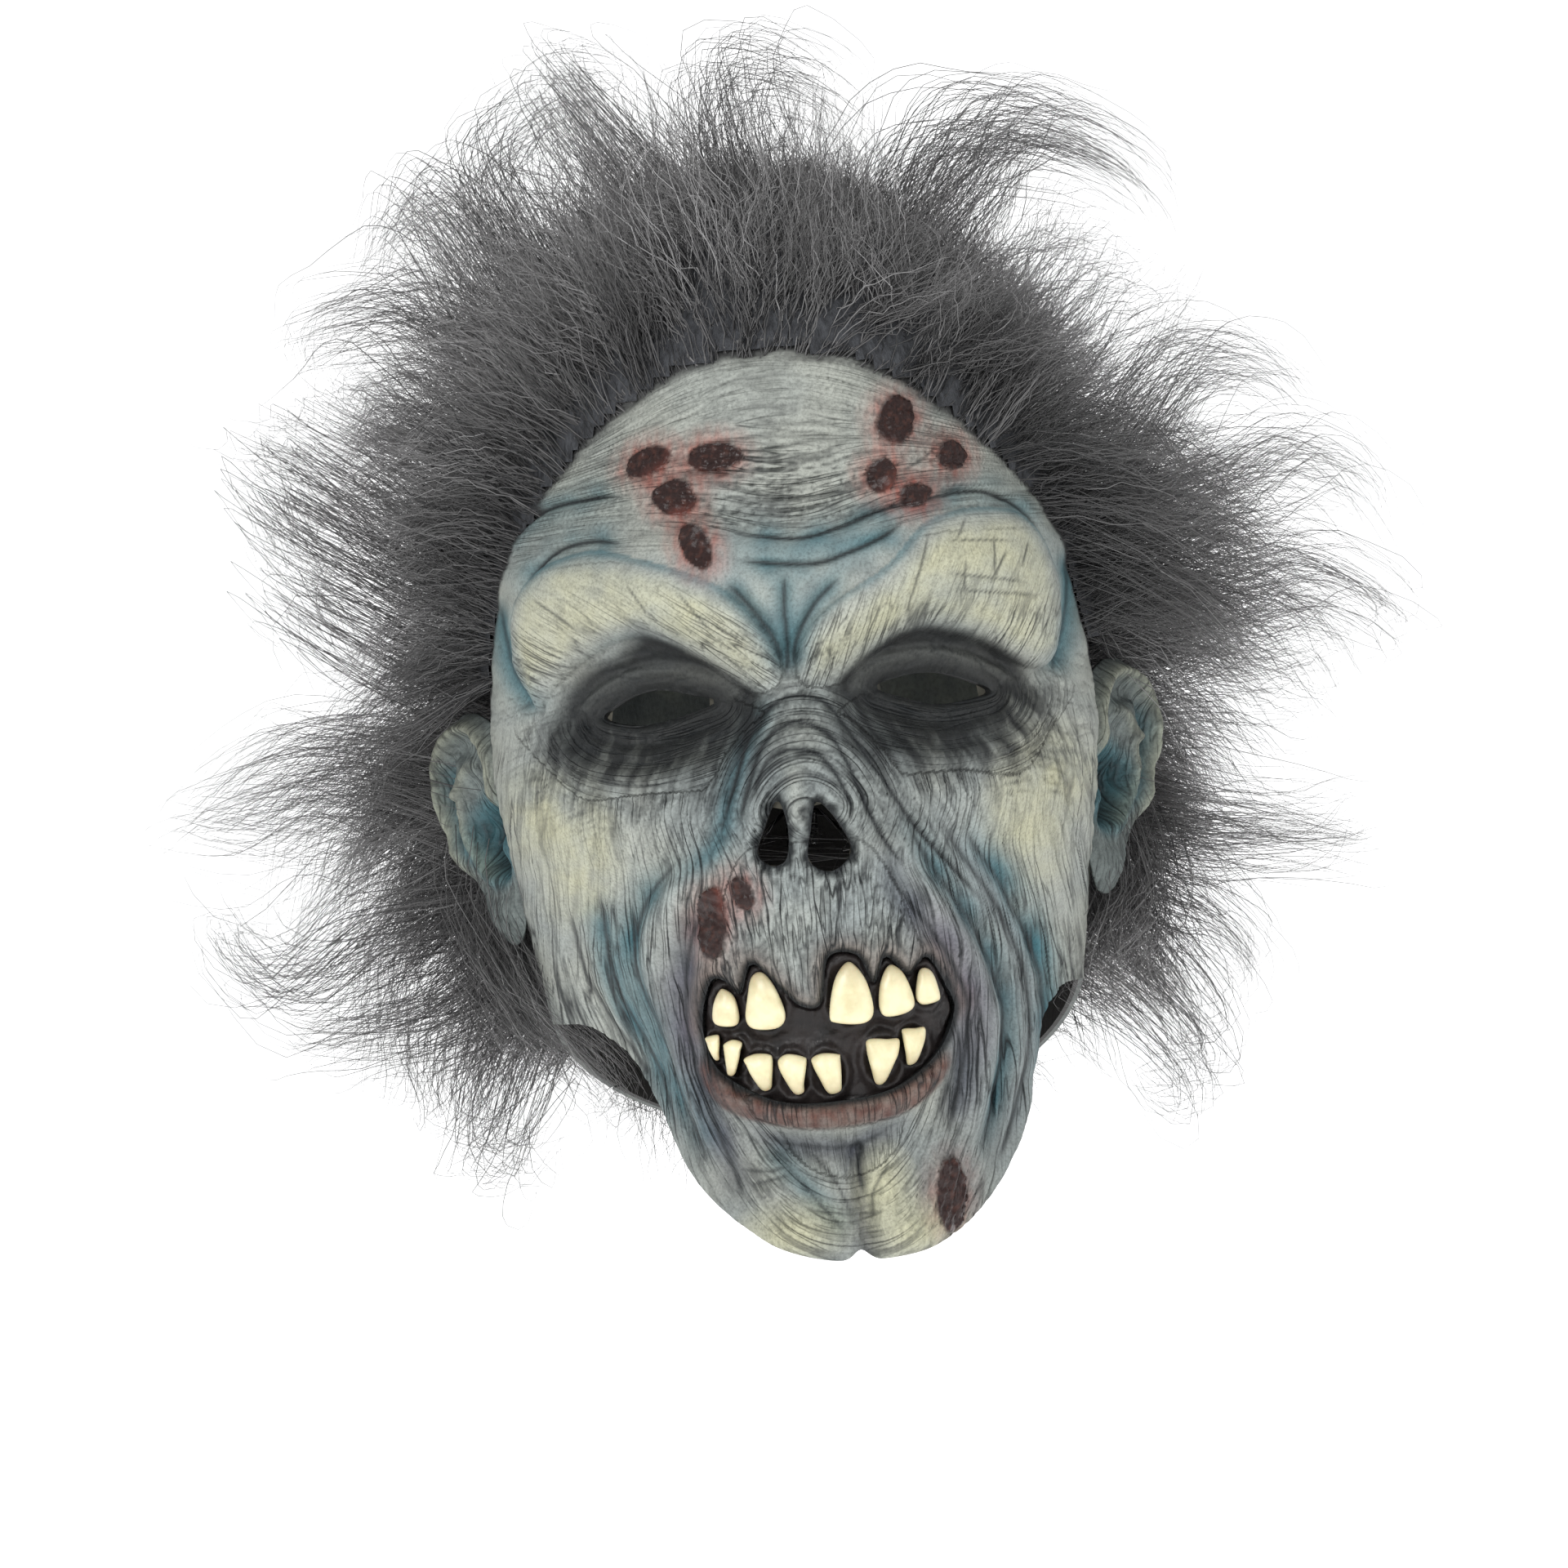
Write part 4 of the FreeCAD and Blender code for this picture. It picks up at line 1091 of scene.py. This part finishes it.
# Kinds of strand: how many, half thickness, disorder, height of the waves, share that curls,
# size of the curls, length of the waves, frizz
KINDS = {"thick": (25000, 0.17, 0.33, 1.0, 0.4, 5.0, 1.0, 0.7),
         "short": (8000, 0.15, 0.12, 0.35, 0.0, 5.0, 1.0, 0.2),
         "wild": (6000, 0.12, 0.33, 1.7, 0.75, 9.0, 1.8, 0.7)}
PER_LOCK, OVER_SLIT = 105, 1800      # strands
EAR_BACK, EAR_TOP = 25.0, 128.0
SLIT_TOP = 100.0
PARTING = math.tan(math.radians(16))
STEPS, SIDES = 13, 3
PER_PIECE = 2500


def scalp(s, u, out=0.0):
    """Points of the hood: s runs 0 to 1 from the nape to the crown, u round the head from the face."""
    low = s < 0.45
    rise = np.clip((s - 0.45) / 0.55, 0, 1) * math.pi / 2
    z = np.where(low, 10 + (WIDE_Z - 10) * s / 0.45, WIDE_Z + (TOP_Z + out - WIDE_Z) * np.sin(rise))
    half = np.where(low, section(z), HALF * np.cos(rise)) + out * np.where(low, 1, np.cos(rise))
    return np.stack([half * np.sin(u), -half * LONG * np.cos(u), z], -1)


def past_hairline(y, z):
    """How far behind the hairline a point lies, mm."""
    return y - (HAIRLINE[0] + (HAIRLINE[1] - z) * HAIRLINE[2])


def scalp_normal(p):
    z = p[:, 2]
    up = np.where(z > WIDE_Z, (z - WIDE_Z) / (TOP_Z - WIDE_Z) ** 2, -0.0021)
    n = np.column_stack([p[:, 0] / HALF ** 2, p[:, 1] / (HALF * LONG) ** 2, up])
    return n / np.linalg.norm(n, axis=1)[:, None]


def crease(side):
    """The fold of one rear flap: a point on the hood, its outward and its upward direction."""
    top = np.array([0.0, LONG * float(section(SLIT_TOP)), SLIT_TOP])
    foot = np.array([side * 56.0, 43.0, 29.0])
    middle = (top + foot) / 2
    half = float(section(middle[2]))
    wall = middle.copy()
    wall[:2] /= math.hypot(middle[0] / half, middle[1] / (half * LONG))
    along = (foot - top) / np.linalg.norm(foot - top)
    out = np.array([wall[0] / half ** 2, wall[1] / (half * LONG) ** 2, 0])
    out /= np.linalg.norm(out)
    out -= along * out.dot(along)
    out /= np.linalg.norm(out)
    across = np.cross(along, out)
    return wall, out, across if across[2] > 0 else -across


def on_flap(p):
    """-1 or 1 on the right or left rear flap, 0 elsewhere."""
    flap = np.zeros(len(p), int)
    for side in (-1, 1):
        point, _, across = crease(side)
        flap[((p - point) @ across < 0) & (p[:, 0] * side > 0) & (p[:, 1] > 20)] = side
    return flap


def furry(p, margin=0.0):
    """Where fur grows: behind the hairline and behind the ears."""
    x, y, z = p.T
    wander = 2.0 * noise(x / 9, z / 9, 301)
    behind = past_hairline(y, z) - wander
    behind = np.minimum(behind, np.where(z < EAR_TOP, y - EAR_BACK, 99.0))
    edge = JAW_Z - 36 * y / 80 + 3
    return (behind > margin) & (z > edge)


def reach(outline, turn):
    p = np.array(outline) - MIDDLE
    a = np.arctan2(p[:, 1], p[:, 0])
    order = np.argsort(a)
    return np.interp(turn, a[order], np.hypot(p[:, 0], p[:, 1])[order], period=2 * math.pi)


def room(p, way, outline):
    """How far each strand can go before it leaves the wig's outline."""
    best = np.full(len(p), 170.0)
    open_still = np.ones(len(p), bool)
    for s in np.arange(4.0, 170.0, 4.0):
        q = p + way * s
        dx, dz = q[:, 0] - MIDDLE[0], q[:, 2] - MIDDLE[1]
        size = (np.hypot(dx, dz) / reach(outline, np.arctan2(dz, dx))) ** 3
        size += (np.abs(q[:, 1] - WIG_Y) / WIG_DEPTH) ** 3
        hit = open_still & (size > 1)
        best[hit], open_still[hit] = s, False
    return best


def unit(v):
    return v / (np.linalg.norm(v, axis=-1, keepdims=True) + 1e-9)


def pick_roots(rng, count):
    """Random points of the hood, evenly spread, with more along the hairline and the lower sides."""
    s, u = rng.random(count * 12), rng.uniform(-math.pi, math.pi, count * 12)
    p = scalp(s, u)
    rise = np.clip((s - 0.45) / 0.55, 0, 1) * math.pi / 2
    weight = np.where(s < 0.45, 1.0, np.cos(rise) * 1.25)
    y, z = p.T[1:]
    edge = past_hairline(y, z)
    weight = weight * (1 + 1.6 * np.exp(-(edge / 12) ** 2) + 2.2 * ((z < 130) & (y < 66)))
    keep = furry(p) & (rng.random(len(p)) * 3.6 < weight)
    return p[keep][:count]


def strands(rng, roots, kind):
    """Paths of the strands, mm, and how light each point of them is."""
    n = len(roots)
    normal = scalp_normal(roots)
    x, y, z = roots.T
    flap = on_flap(roots)
    spread = unit(np.column_stack([x - MIDDLE[0], np.zeros(n), z - (MIDDLE[1] - 14)]))
    flat = np.hypot(normal[:, 0], normal[:, 2])[:, None]
    lift = normal.copy()
    lift[:, 1] = np.maximum(lift[:, 1], -0.08)
    back = np.array([0, 1.0, 0])
    down = np.array([0, 0, -1.0])
    sides = (smooth(np.abs(x), 40, 70) * smooth(200 - z, 0, 60))[:, None]
    rear = smooth(normal[:, 1], 0.45, 0.95)[:, None]
    way = spread * flat * (1 - 0.6 * rear) + 0.5 * lift + back * 0.38 * (1 - rear) * (1 - 0.5 * sides)
    way = way + down * (0.26 * sides + 0.75 * rear)
    clumps = max(8, n // 26)
    centre = rng.choice(n, clumps, replace=False)
    owner = np.empty(n, int)
    for a in range(0, n, 2000):
        gap = ((roots[a:a + 2000, None] - roots[None, centre]) ** 2).sum(2)
        owner[a:a + 2000] = gap.argmin(1)
    lead = centre[owner]
    sway = rng.normal(0, 1, (clumps, 3))
    loose, swing, curly, curl_size, stretch, frizzy = KINDS[kind][2:]
    way = unit(way + loose * sway[owner] + 0.13 * rng.normal(0, 1, (n, 3)))
    way[:, 1] = np.where((y < 0) & (way[:, 1] < 0), 0.1 * way[:, 1], way[:, 1])
    way = unit(way)
    far = room(roots, way, LOOSE if kind == "wild" else THICK)
    part = rng.uniform(0.72, 1.0, clumps)[owner] * rng.uniform(0.62, 1.04, n)
    if kind == "wild":
        part = rng.uniform(0.86, 1.0, clumps)[owner] * rng.uniform(0.86, 1.02, n)
    length = far * part
    if kind == "short":
        length = np.minimum(length, rng.uniform(14, 34, n))
    length = np.where(flap != 0, np.minimum(length, rng.uniform(20, 36, n)), length)
    length = np.clip(length, 10, 125)
    t = np.linspace(0, 1, STEPS + 1)[None, :, None]
    size = length[:, None, None]
    rise = unit(0.45 * normal + np.array([0, 0.1, 0.75]) * (1 - rear))
    bow = 0.16 + 0.08 * rng.normal(0, 1, clumps)[owner]
    path = (roots - 1.0 * normal)[:, None] + way[:, None] * size * t
    path = path + (rise * bow[:, None])[:, None] * size * np.sin(math.pi * t) * (0.4 + 0.6 * sides[:, None])
    # locks: each strand leans towards the one that leads its clump
    pull = (0.15 + 0.6 * rng.random(clumps))[owner][:, None, None]
    path = path + (path[lead] - path) * pull * t ** 1.4
    first = unit(np.cross(way, rng.normal(0, 1, (n, 3))[lead]))
    second = np.cross(way, first)
    phase = (rng.uniform(0, PHASES, clumps)[owner] + 0.7 * rng.normal(0, 1, n))[:, None, None]
    wave = rng.uniform(24, 60, clumps)[owner][:, None, None] * stretch
    high = ((1.4 + 4.4 * rng.random(clumps)[owner]) * swing)[:, None, None]
    along = size * t
    bend = FULL_TURN * along / wave + phase
    path = path + high * t ** 0.8 * (first[:, None] * np.sin(bend) + 0.7 * second[:, None] * np.cos(bend))
    curl = np.where(rng.random(clumps)[owner] < curly, 1.0, 0.0)[:, None, None]
    hook = curl * curl_size * smooth(t, 0.45, 1.0)
    path = path + hook * (first[:, None] * np.cos(bend * 1.2) + down * np.sin(bend * 1.2))
    grow = 0.4 * np.minimum(t * 4, 1)
    path = path + rng.normal(0, 1, path.shape) * grow
    frizz = np.cumsum(rng.normal(0, 1, path.shape), axis=1) * frizzy
    path = path + frizz * (0.3 + 0.7 * t)
    # out of the head, and clear of the folding flaps
    inside = (section(path[..., 2]) + 1.2) / (np.hypot(path[..., 0], path[..., 1] / LONG) + 1e-6)
    push = np.where(path[..., 2] < 236, np.maximum(inside, 1.0), 1.0)
    push = np.where(t[..., 0] > 0.03, np.minimum(push, 1.3), 1.0)
    path[..., 0] *= push
    path[..., 1] *= push
    for side in (-1, 1):
        point, out, across = crease(side)
        a = path - point
        open_by = PARTING * np.maximum(a @ out, 0)
        low = (a @ across) - open_by
        high_side = (a @ across) + open_by
        mask_part = ((flap == 0)[:, None] & (path[..., 0] * side > 0) & (path[..., 1] > 20) & (low < 0))
        flap_part = ((flap == side)[:, None] & (high_side > 0))
        path -= across * (np.where(mask_part, low, 0) + np.where(flap_part, high_side, 0))[..., None]
        own = (flap == side)[:, None]
        path[..., 0] = np.where(own, side * np.maximum(path[..., 0] * side, 0.9), path[..., 0])
    edge = past_hairline(y, z)
    tone = 0.58 + 0.13 * rng.normal(0, 1, clumps)[owner] + 0.12 * rng.normal(0, 1, n)
    tone = tone - 0.34 * np.exp(-(edge / 17) ** 2)
    tone = tone[:, None] + 0.2 * (t[..., 0] - 0.5)
    return path, np.clip(tone, 0, 1), flap


# Locks that stand out of the wig: points of the middle strand, x, y, z
LOCKS = [
    [(-70, 30, 108), (-105, 25, 116), (-134, 20, 108), (-157, 15, 101)],
    [(-70, 28, 96), (-100, 25, 106), (-128, 20, 102), (-150, 15, 100)],
    [(-76, 25, 160), (-100, 20, 184), (-117, 18, 192), (-128, 15, 189)],
    [(-78, 20, 150), (-104, 15, 168), (-119, 12, 177), (-117, 10, 166), (-108, 10, 160)],
    [(-76, 20, 132), (-98, 15, 146), (-114, 12, 155), (-111, 10, 144), (-102, 10, 142)],
    [(-68, 35, 78), (-100, 30, 72), (-128, 25, 62), (-138, 20, 73), (-133, 18, 80)],
    [(-68, 35, 68), (-95, 30, 53), (-120, 25, 49), (-130, 20, 57)],
    [(-62, 38, 58), (-76, 30, 36), (-84, 25, 21), (-73, 20, 14), (-66, 20, 23)],
    [(-66, 35, 66), (-88, 28, 47), (-97, 25, 36), (-88, 22, 31)],
    [(-66, 35, 60), (-78, 30, 44), (-80, 25, 30), (-88, 22, 24)],
    [(62, 38, 62), (80, 32, 46), (90, 28, 30), (85, 25, 19), (77, 22, 27)],
    [(66, 35, 72), (88, 30, 64), (100, 26, 52), (95, 22, 43)],
    [(66, 35, 66), (78, 30, 52), (84, 25, 40), (92, 22, 34)],
    [(68, 30, 90), (100, 25, 80), (126, 20, 75), (133, 18, 84)],
    [(73, 25, 128), (110, 20, 140), (139, 15, 133), (144, 12, 117)],
    [(72, 20, 148), (105, 15, 164), (133, 12, 166), (142, 10, 150)],
    [(70, 15, 160), (95, 10, 186), (115, 8, 190), (126, 6, 178)],
    [(-52, -10, 212), (-70, -12, 240), (-85, -10, 241), (-94, -8, 224)],
    [(-48, -5, 216), (-62, -8, 250), (-46, -8, 264), (-27, -5, 260)],
    [(-20, -20, 232), (-36, -22, 258), (-40, -20, 269), (-29, -18, 273)],
    [(0, -25, 232), (-6, -28, 258), (6, -26, 267), (20, -22, 261), (29, -20, 247)],
    [(36, -10, 222), (60, -12, 245), (86, -10, 240), (101, -8, 221)],
    [(28, -15, 228), (50, -15, 250), (76, -12, 246), (93, -10, 231)],
    [(-58, 0, 200), (-84, 0, 222), (-102, 0, 216), (-108, 0, 202)],
    [(-70, 20, 86), (-72, 0, 68), (-64, -12, 52), (-55, -16, 38), (-48, -14, 26)],
    [(-70, 20, 82), (-70, -4, 62), (-60, -14, 46), (-51, -16, 34), (-57, -12, 24)],
    [(-70, 22, 78), (-74, 0, 58), (-68, -8, 43), (-59, -12, 33)],
    [(73, 22, 84), (75, 4, 68), (71, -6, 54), (66, -8, 43), (70, -6, 35)],
    [(73, 22, 80), (77, 4, 62), (74, -4, 49), (69, -6, 40)],
]


def locks(rng, share):
    """Loose locks with curling, tapering ends."""
    t = np.linspace(0, 1, STEPS + 1)
    paths = []
    for points in LOCKS:
        line = spline(points)
        n = max(6, int(PER_LOCK * share))
        where = t * rng.uniform(0.62, 1.0, n)[:, None] * (len(line) - 1)
        path = np.stack([np.interp(where, np.arange(len(line)), line[:, k]) for k in range(3)], -1)
        spread = rng.normal(0, 1, (n, 1, 3)) * np.array([8.0, 10.0, 8.0])
        path = path + spread * (1 - 0.5 * t[None, :, None])
        turn = FULL_TURN * t * rng.uniform(0.9, 2.4) + rng.normal(0, 0.7, (n, 1))
        turn = turn + rng.uniform(0, PHASES)
        size = 1.0 + 2.6 * t
        path = path + np.stack([size * np.sin(turn), size * np.cos(turn), size * np.cos(turn + 1)], -1)
        drift = np.cumsum(rng.normal(0, 0.34, path.shape), axis=1)
        paths.append(path + drift)
    path = np.concatenate(paths)
    tone = 0.36 + 0.12 * rng.normal(0, 1, (len(path), 1)) + 0.4 * (t - 0.4)
    return path, np.clip(tone, 0, 1)


def curtain(rng, share):
    """Pile from above the rear slit, which hangs over its open upper end."""
    n = int(OVER_SLIT * share)
    x, z = rng.uniform(-7, 7, n), rng.uniform(101, 112, n)
    root = np.column_stack([x, LONG * section(z) - 0.5, z])
    t = np.linspace(0, 1, STEPS + 1)[None, :, None]
    length = ((z - 83) * rng.uniform(0.85, 1.03, n))[:, None, None]
    way = unit(np.array([0, 0.16, -1.0]) + rng.normal(0, 1, (n, 3)) * np.array([0.05, 0.09, 0]))
    path = root[:, None] + way[:, None] * length * t
    path[..., 1] += 4.0 * np.sin(math.pi * np.minimum(t[..., 0] * 1.2, 1)) * rng.uniform(0.3, 1, n)[:, None]
    path += np.cumsum(rng.normal(0, 0.25, path.shape), axis=1)
    return path, np.clip(0.3 + 0.12 * rng.normal(0, 1, (n, 1)) + 0.1 * t[..., 0], 0, 1)


def tubes(path, tone, thick):
    """Tapered tubes of three sides along the paths."""
    n, k = path.shape[:2]
    ahead = unit(np.gradient(path, axis=1))
    side = unit(np.cross(ahead, np.array([0.31, 0.17, 0.93])))
    over = np.cross(ahead, side)
    t = np.linspace(0, 1, k)[None, :, None, None]
    width = thick[:, None, None, None] * (1 - 0.82 * t ** 1.5)
    a = np.arange(SIDES) * 2 * math.pi / SIDES
    ring = np.cos(a)[:, None] * side[:, :, None] + np.sin(a)[:, None] * over[:, :, None]
    verts = (path[:, :, None] + width * ring).reshape(-1, 3)
    one = []
    for i in range(k - 1):
        for j in range(SIDES):
            q, r = i * SIDES + j, i * SIDES + (j + 1) % SIDES
            one.append((q, r, r + SIDES, q + SIDES))
    faces = (np.arange(n)[:, None, None] * k * SIDES + np.array(one)[None]).reshape(-1, 4)
    return verts, faces, np.repeat(tone.ravel(), SIDES)


REGIONS = (("crown", "crown_fur", "mask"), ("back", "back_fur", "mask"),
           ("left_side", "left_side_fur", "mask"), ("right_side", "right_side_fur", "mask"),
           ("left_nape", "left_nape_fur", "left_flap"), ("right_nape", "right_nape_fur", "right_flap"))


def region(p, flap):
    """Which entry of REGIONS each point belongs to."""
    which = np.where(p[:, 0] > 0, 2, 3)
    which = np.where(p[:, 1] > 70, 1, which)
    which = np.where(p[:, 2] > 191.5, 0, which)
    return np.where(flap > 0, 4, np.where(flap < 0, 5, which))


def build_wig(fur, backing):
    rng = np.random.default_rng(11)
    share = 1.0
    sets = []
    for kind, (count, thick, *_) in KINDS.items():
        roots = pick_roots(rng, int(count * share))
        path, tone, flap = strands(rng, roots, kind)
        sets.append((path, tone, rng.uniform(0.7, 1.25, len(path)) * thick, region(roots, flap)))
    path, tone = curtain(rng, share)
    sets.append((path, tone, np.full(len(path), 0.16), region(path[:, 0], 0)))
    path, tone = locks(rng, share)
    sets.append((path, tone, rng.uniform(0.07, 0.14, len(path)), region(path[:, 0], 0)))
    path, tone, thick, which = (np.concatenate(part) for part in zip(*sets))
    for k, (label, node, body) in enumerate(REGIONS):
        mine = np.flatnonzero(which == k)
        for number, at in enumerate(np.array_split(mine, max(1, -(-len(mine) // PER_PIECE))), 1):
            verts, faces, shade = tubes(path[at], tone[at], thick[at])
            hair = mesh_piece("%s_hair_%d" % (label, number), verts, faces, (fur,), check=False)
            store(hair, "tone", shade)
            if number == 1:
                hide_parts(node)
            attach(hair, body)
    build_backing(backing)


def build_backing(material):
    """The knitted backing that the pile grows from, close over the latex."""
    s, u = np.meshgrid(np.linspace(0.0, 0.995, 130), np.linspace(-math.pi, math.pi, 260), indexing="ij")
    flat = scalp(s, u).reshape(-1, 3)
    edge = past_hairline(flat[:, 1], flat[:, 2])
    lumps = noise(flat[:, 0] / 5 + 9, flat[:, 2] / 5 + flat[:, 1] / 5, 311)
    thick = 0.5 + (1.8 + 1.2 * smooth(edge, 5, 20)) * smooth(edge, 0, 12) + 0.5 * lumps
    verts = flat + scalp_normal(flat) * thick[:, None]
    quads = grid_quads(*u.shape)[:, [0, 3, 2, 1]]
    flap = on_flap(flat)
    middle = flat[quads].mean(1)
    grown = furry(middle, 2.5)
    clear = np.ones(len(quads), bool)
    for side in (-1, 1):
        point, _, across = crease(side)
        near = np.abs((middle - point) @ across) < 2.5
        clear &= ~(near & (middle[:, 0] * side > 0) & (middle[:, 1] > 20))
    slit = (np.abs(middle[:, 0]) < 3) & (middle[:, 2] < SLIT_TOP + 2) & (middle[:, 1] > 0)
    for name, value, body in (("fur_backing", 0, "mask"), ("left_nape_backing", 1, "left_flap"),
                              ("right_nape_backing", -1, "right_flap")):
        own = (flap[quads] == value).all(1) & grown & clear & ~slit
        used, back = np.unique(quads[own], return_inverse=True)
        piece = mesh_piece(name, verts[used], back.reshape(-1, 4), (material,))
        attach(piece, body)


def fur_pile():
    n = Nodes("fur_pile")
    tone = n.attribute("tone")
    base = n.ramp(tone, [(0.0, srgb(40, 40, 41)), (0.45, srgb(104, 103, 103)),
                         (1.0, srgb(184, 183, 183))])
    n.set(Base_Color=base, Roughness=0.5, Specular_IOR_Level=0.35)
    return n.material


def fur_backing():
    n = Nodes("fur_backing")
    pile = n.noise(700, 4.0, 0.7, (1, 1, 0.3))
    n.set(Base_Color=n.ramp(pile, [(0.3, srgb(26, 27, 30)), (0.7, srgb(72, 74, 78))]),
          Roughness=0.9, Normal=n.bump(pile, 0.8, 0.002))
    return n.material


def main():
    skin, enamel = painted_latex(), enamel_paint()
    rng = np.random.default_rng(5)
    build_face(skin, inner_latex_painted_shade())
    build_gums(gum_paint())
    for name in TEETH:
        build_tooth(name, enamel, rng)
    for side in (-1, 1):
        build_ear(side, skin)
    finish_cad(["skull_skin", "left_rear_flap", "right_rear_flap"], bare_latex())
    finish_cad(["seam_tape_left", "seam_tape_right", "seam_tape_front", "slit_patch", "care_label"],
               woven("seam_cloth", srgb(196, 192, 180), srgb(168, 164, 152), THREADS))
    build_pad(foam())
    build_wig(fur_pile(), fur_backing())


main()

# Stage -------------------------------------------------------------------------------


def light(name, place_m, aim, size, power):
    lamp = bpy.data.lights.new(name, "AREA")
    lamp.shape, lamp.size, lamp.energy = "DISK", size, power
    holder = bpy.data.objects.new(name, lamp)
    holder.location = place_m
    holder.rotation_euler = (Vector(aim) - Vector(place_m)).to_track_quat("-Z", "Y").to_euler()
    bpy.context.scene.collection.objects.link(holder)


def backdrop():
    """A pale floor that sweeps up into a wall."""
    turn = np.linspace(0, math.pi / 2, 24)
    y = np.concatenate([[-3.0], 1.6 + 1.2 * np.sin(turn), [2.8]]) / MM
    z = np.concatenate([[-0.2], 1.0 - 1.2 * np.cos(turn), [4.0]]) / MM
    verts = np.vstack([np.column_stack([np.full(len(y), x), y, z]) for x in (-4000.0, 4000.0)])
    k = np.arange(len(y) - 1)
    n = Nodes("pale_paper")
    n.set(Base_Color=(0.9, 0.9, 0.9, 1), Roughness=0.95, Emission_Color=(1, 1, 1, 1), Emission_Strength=0.4)
    faces = np.column_stack([k, k + len(y), k + len(y) + 1, k + 1])
    mesh_piece("floor", verts, faces, (n.material,))


def stage():
    middle = Vector((0, 0, 0.12))
    distance, roll, field, sensor = 1.6, math.radians(-5), 0.352, 36
    camera = bpy.data.cameras.new("camera")
    camera.sensor_width = sensor
    camera.lens = sensor * distance / field
    holder = bpy.data.objects.new("camera", camera)
    aim = Vector((-0.0035, -0.09, 0.0995))
    holder.location = aim + Vector((0, -distance, 0))
    turn = (aim - holder.location).to_track_quat("-Z", "Y").to_matrix().to_4x4()
    spin = Vector((0, 0, 1))
    holder.matrix_world = Matrix.Translation(holder.location) @ turn @ Matrix.Rotation(roll, 4, spin)
    bpy.context.scene.collection.objects.link(holder)
    bpy.context.scene.camera = holder
    # place, aim, size in metres and power in watts
    light("key", (-0.7, -1.9, 0.75), middle, 0.8, 21)
    light("fill", (1.3, -1.5, 0.3), middle, 1.3, 7.5)
    light("top", (0.2, 0.2, 1.8), middle, 1.0, 7.5)
    light("rim", (0.3, 1.6, 0.9), middle, 1.2, 10)
    world = bpy.data.worlds.new("studio")
    world.use_nodes = True
    world.node_tree.nodes["Background"].inputs[0].default_value = (0.94, 0.95, 0.96, 1)
    world.node_tree.nodes["Background"].inputs[1].default_value = 0.64
    bpy.context.scene.world = world
    bpy.context.scene.view_settings.view_transform = "Standard"


stage()
backdrop()
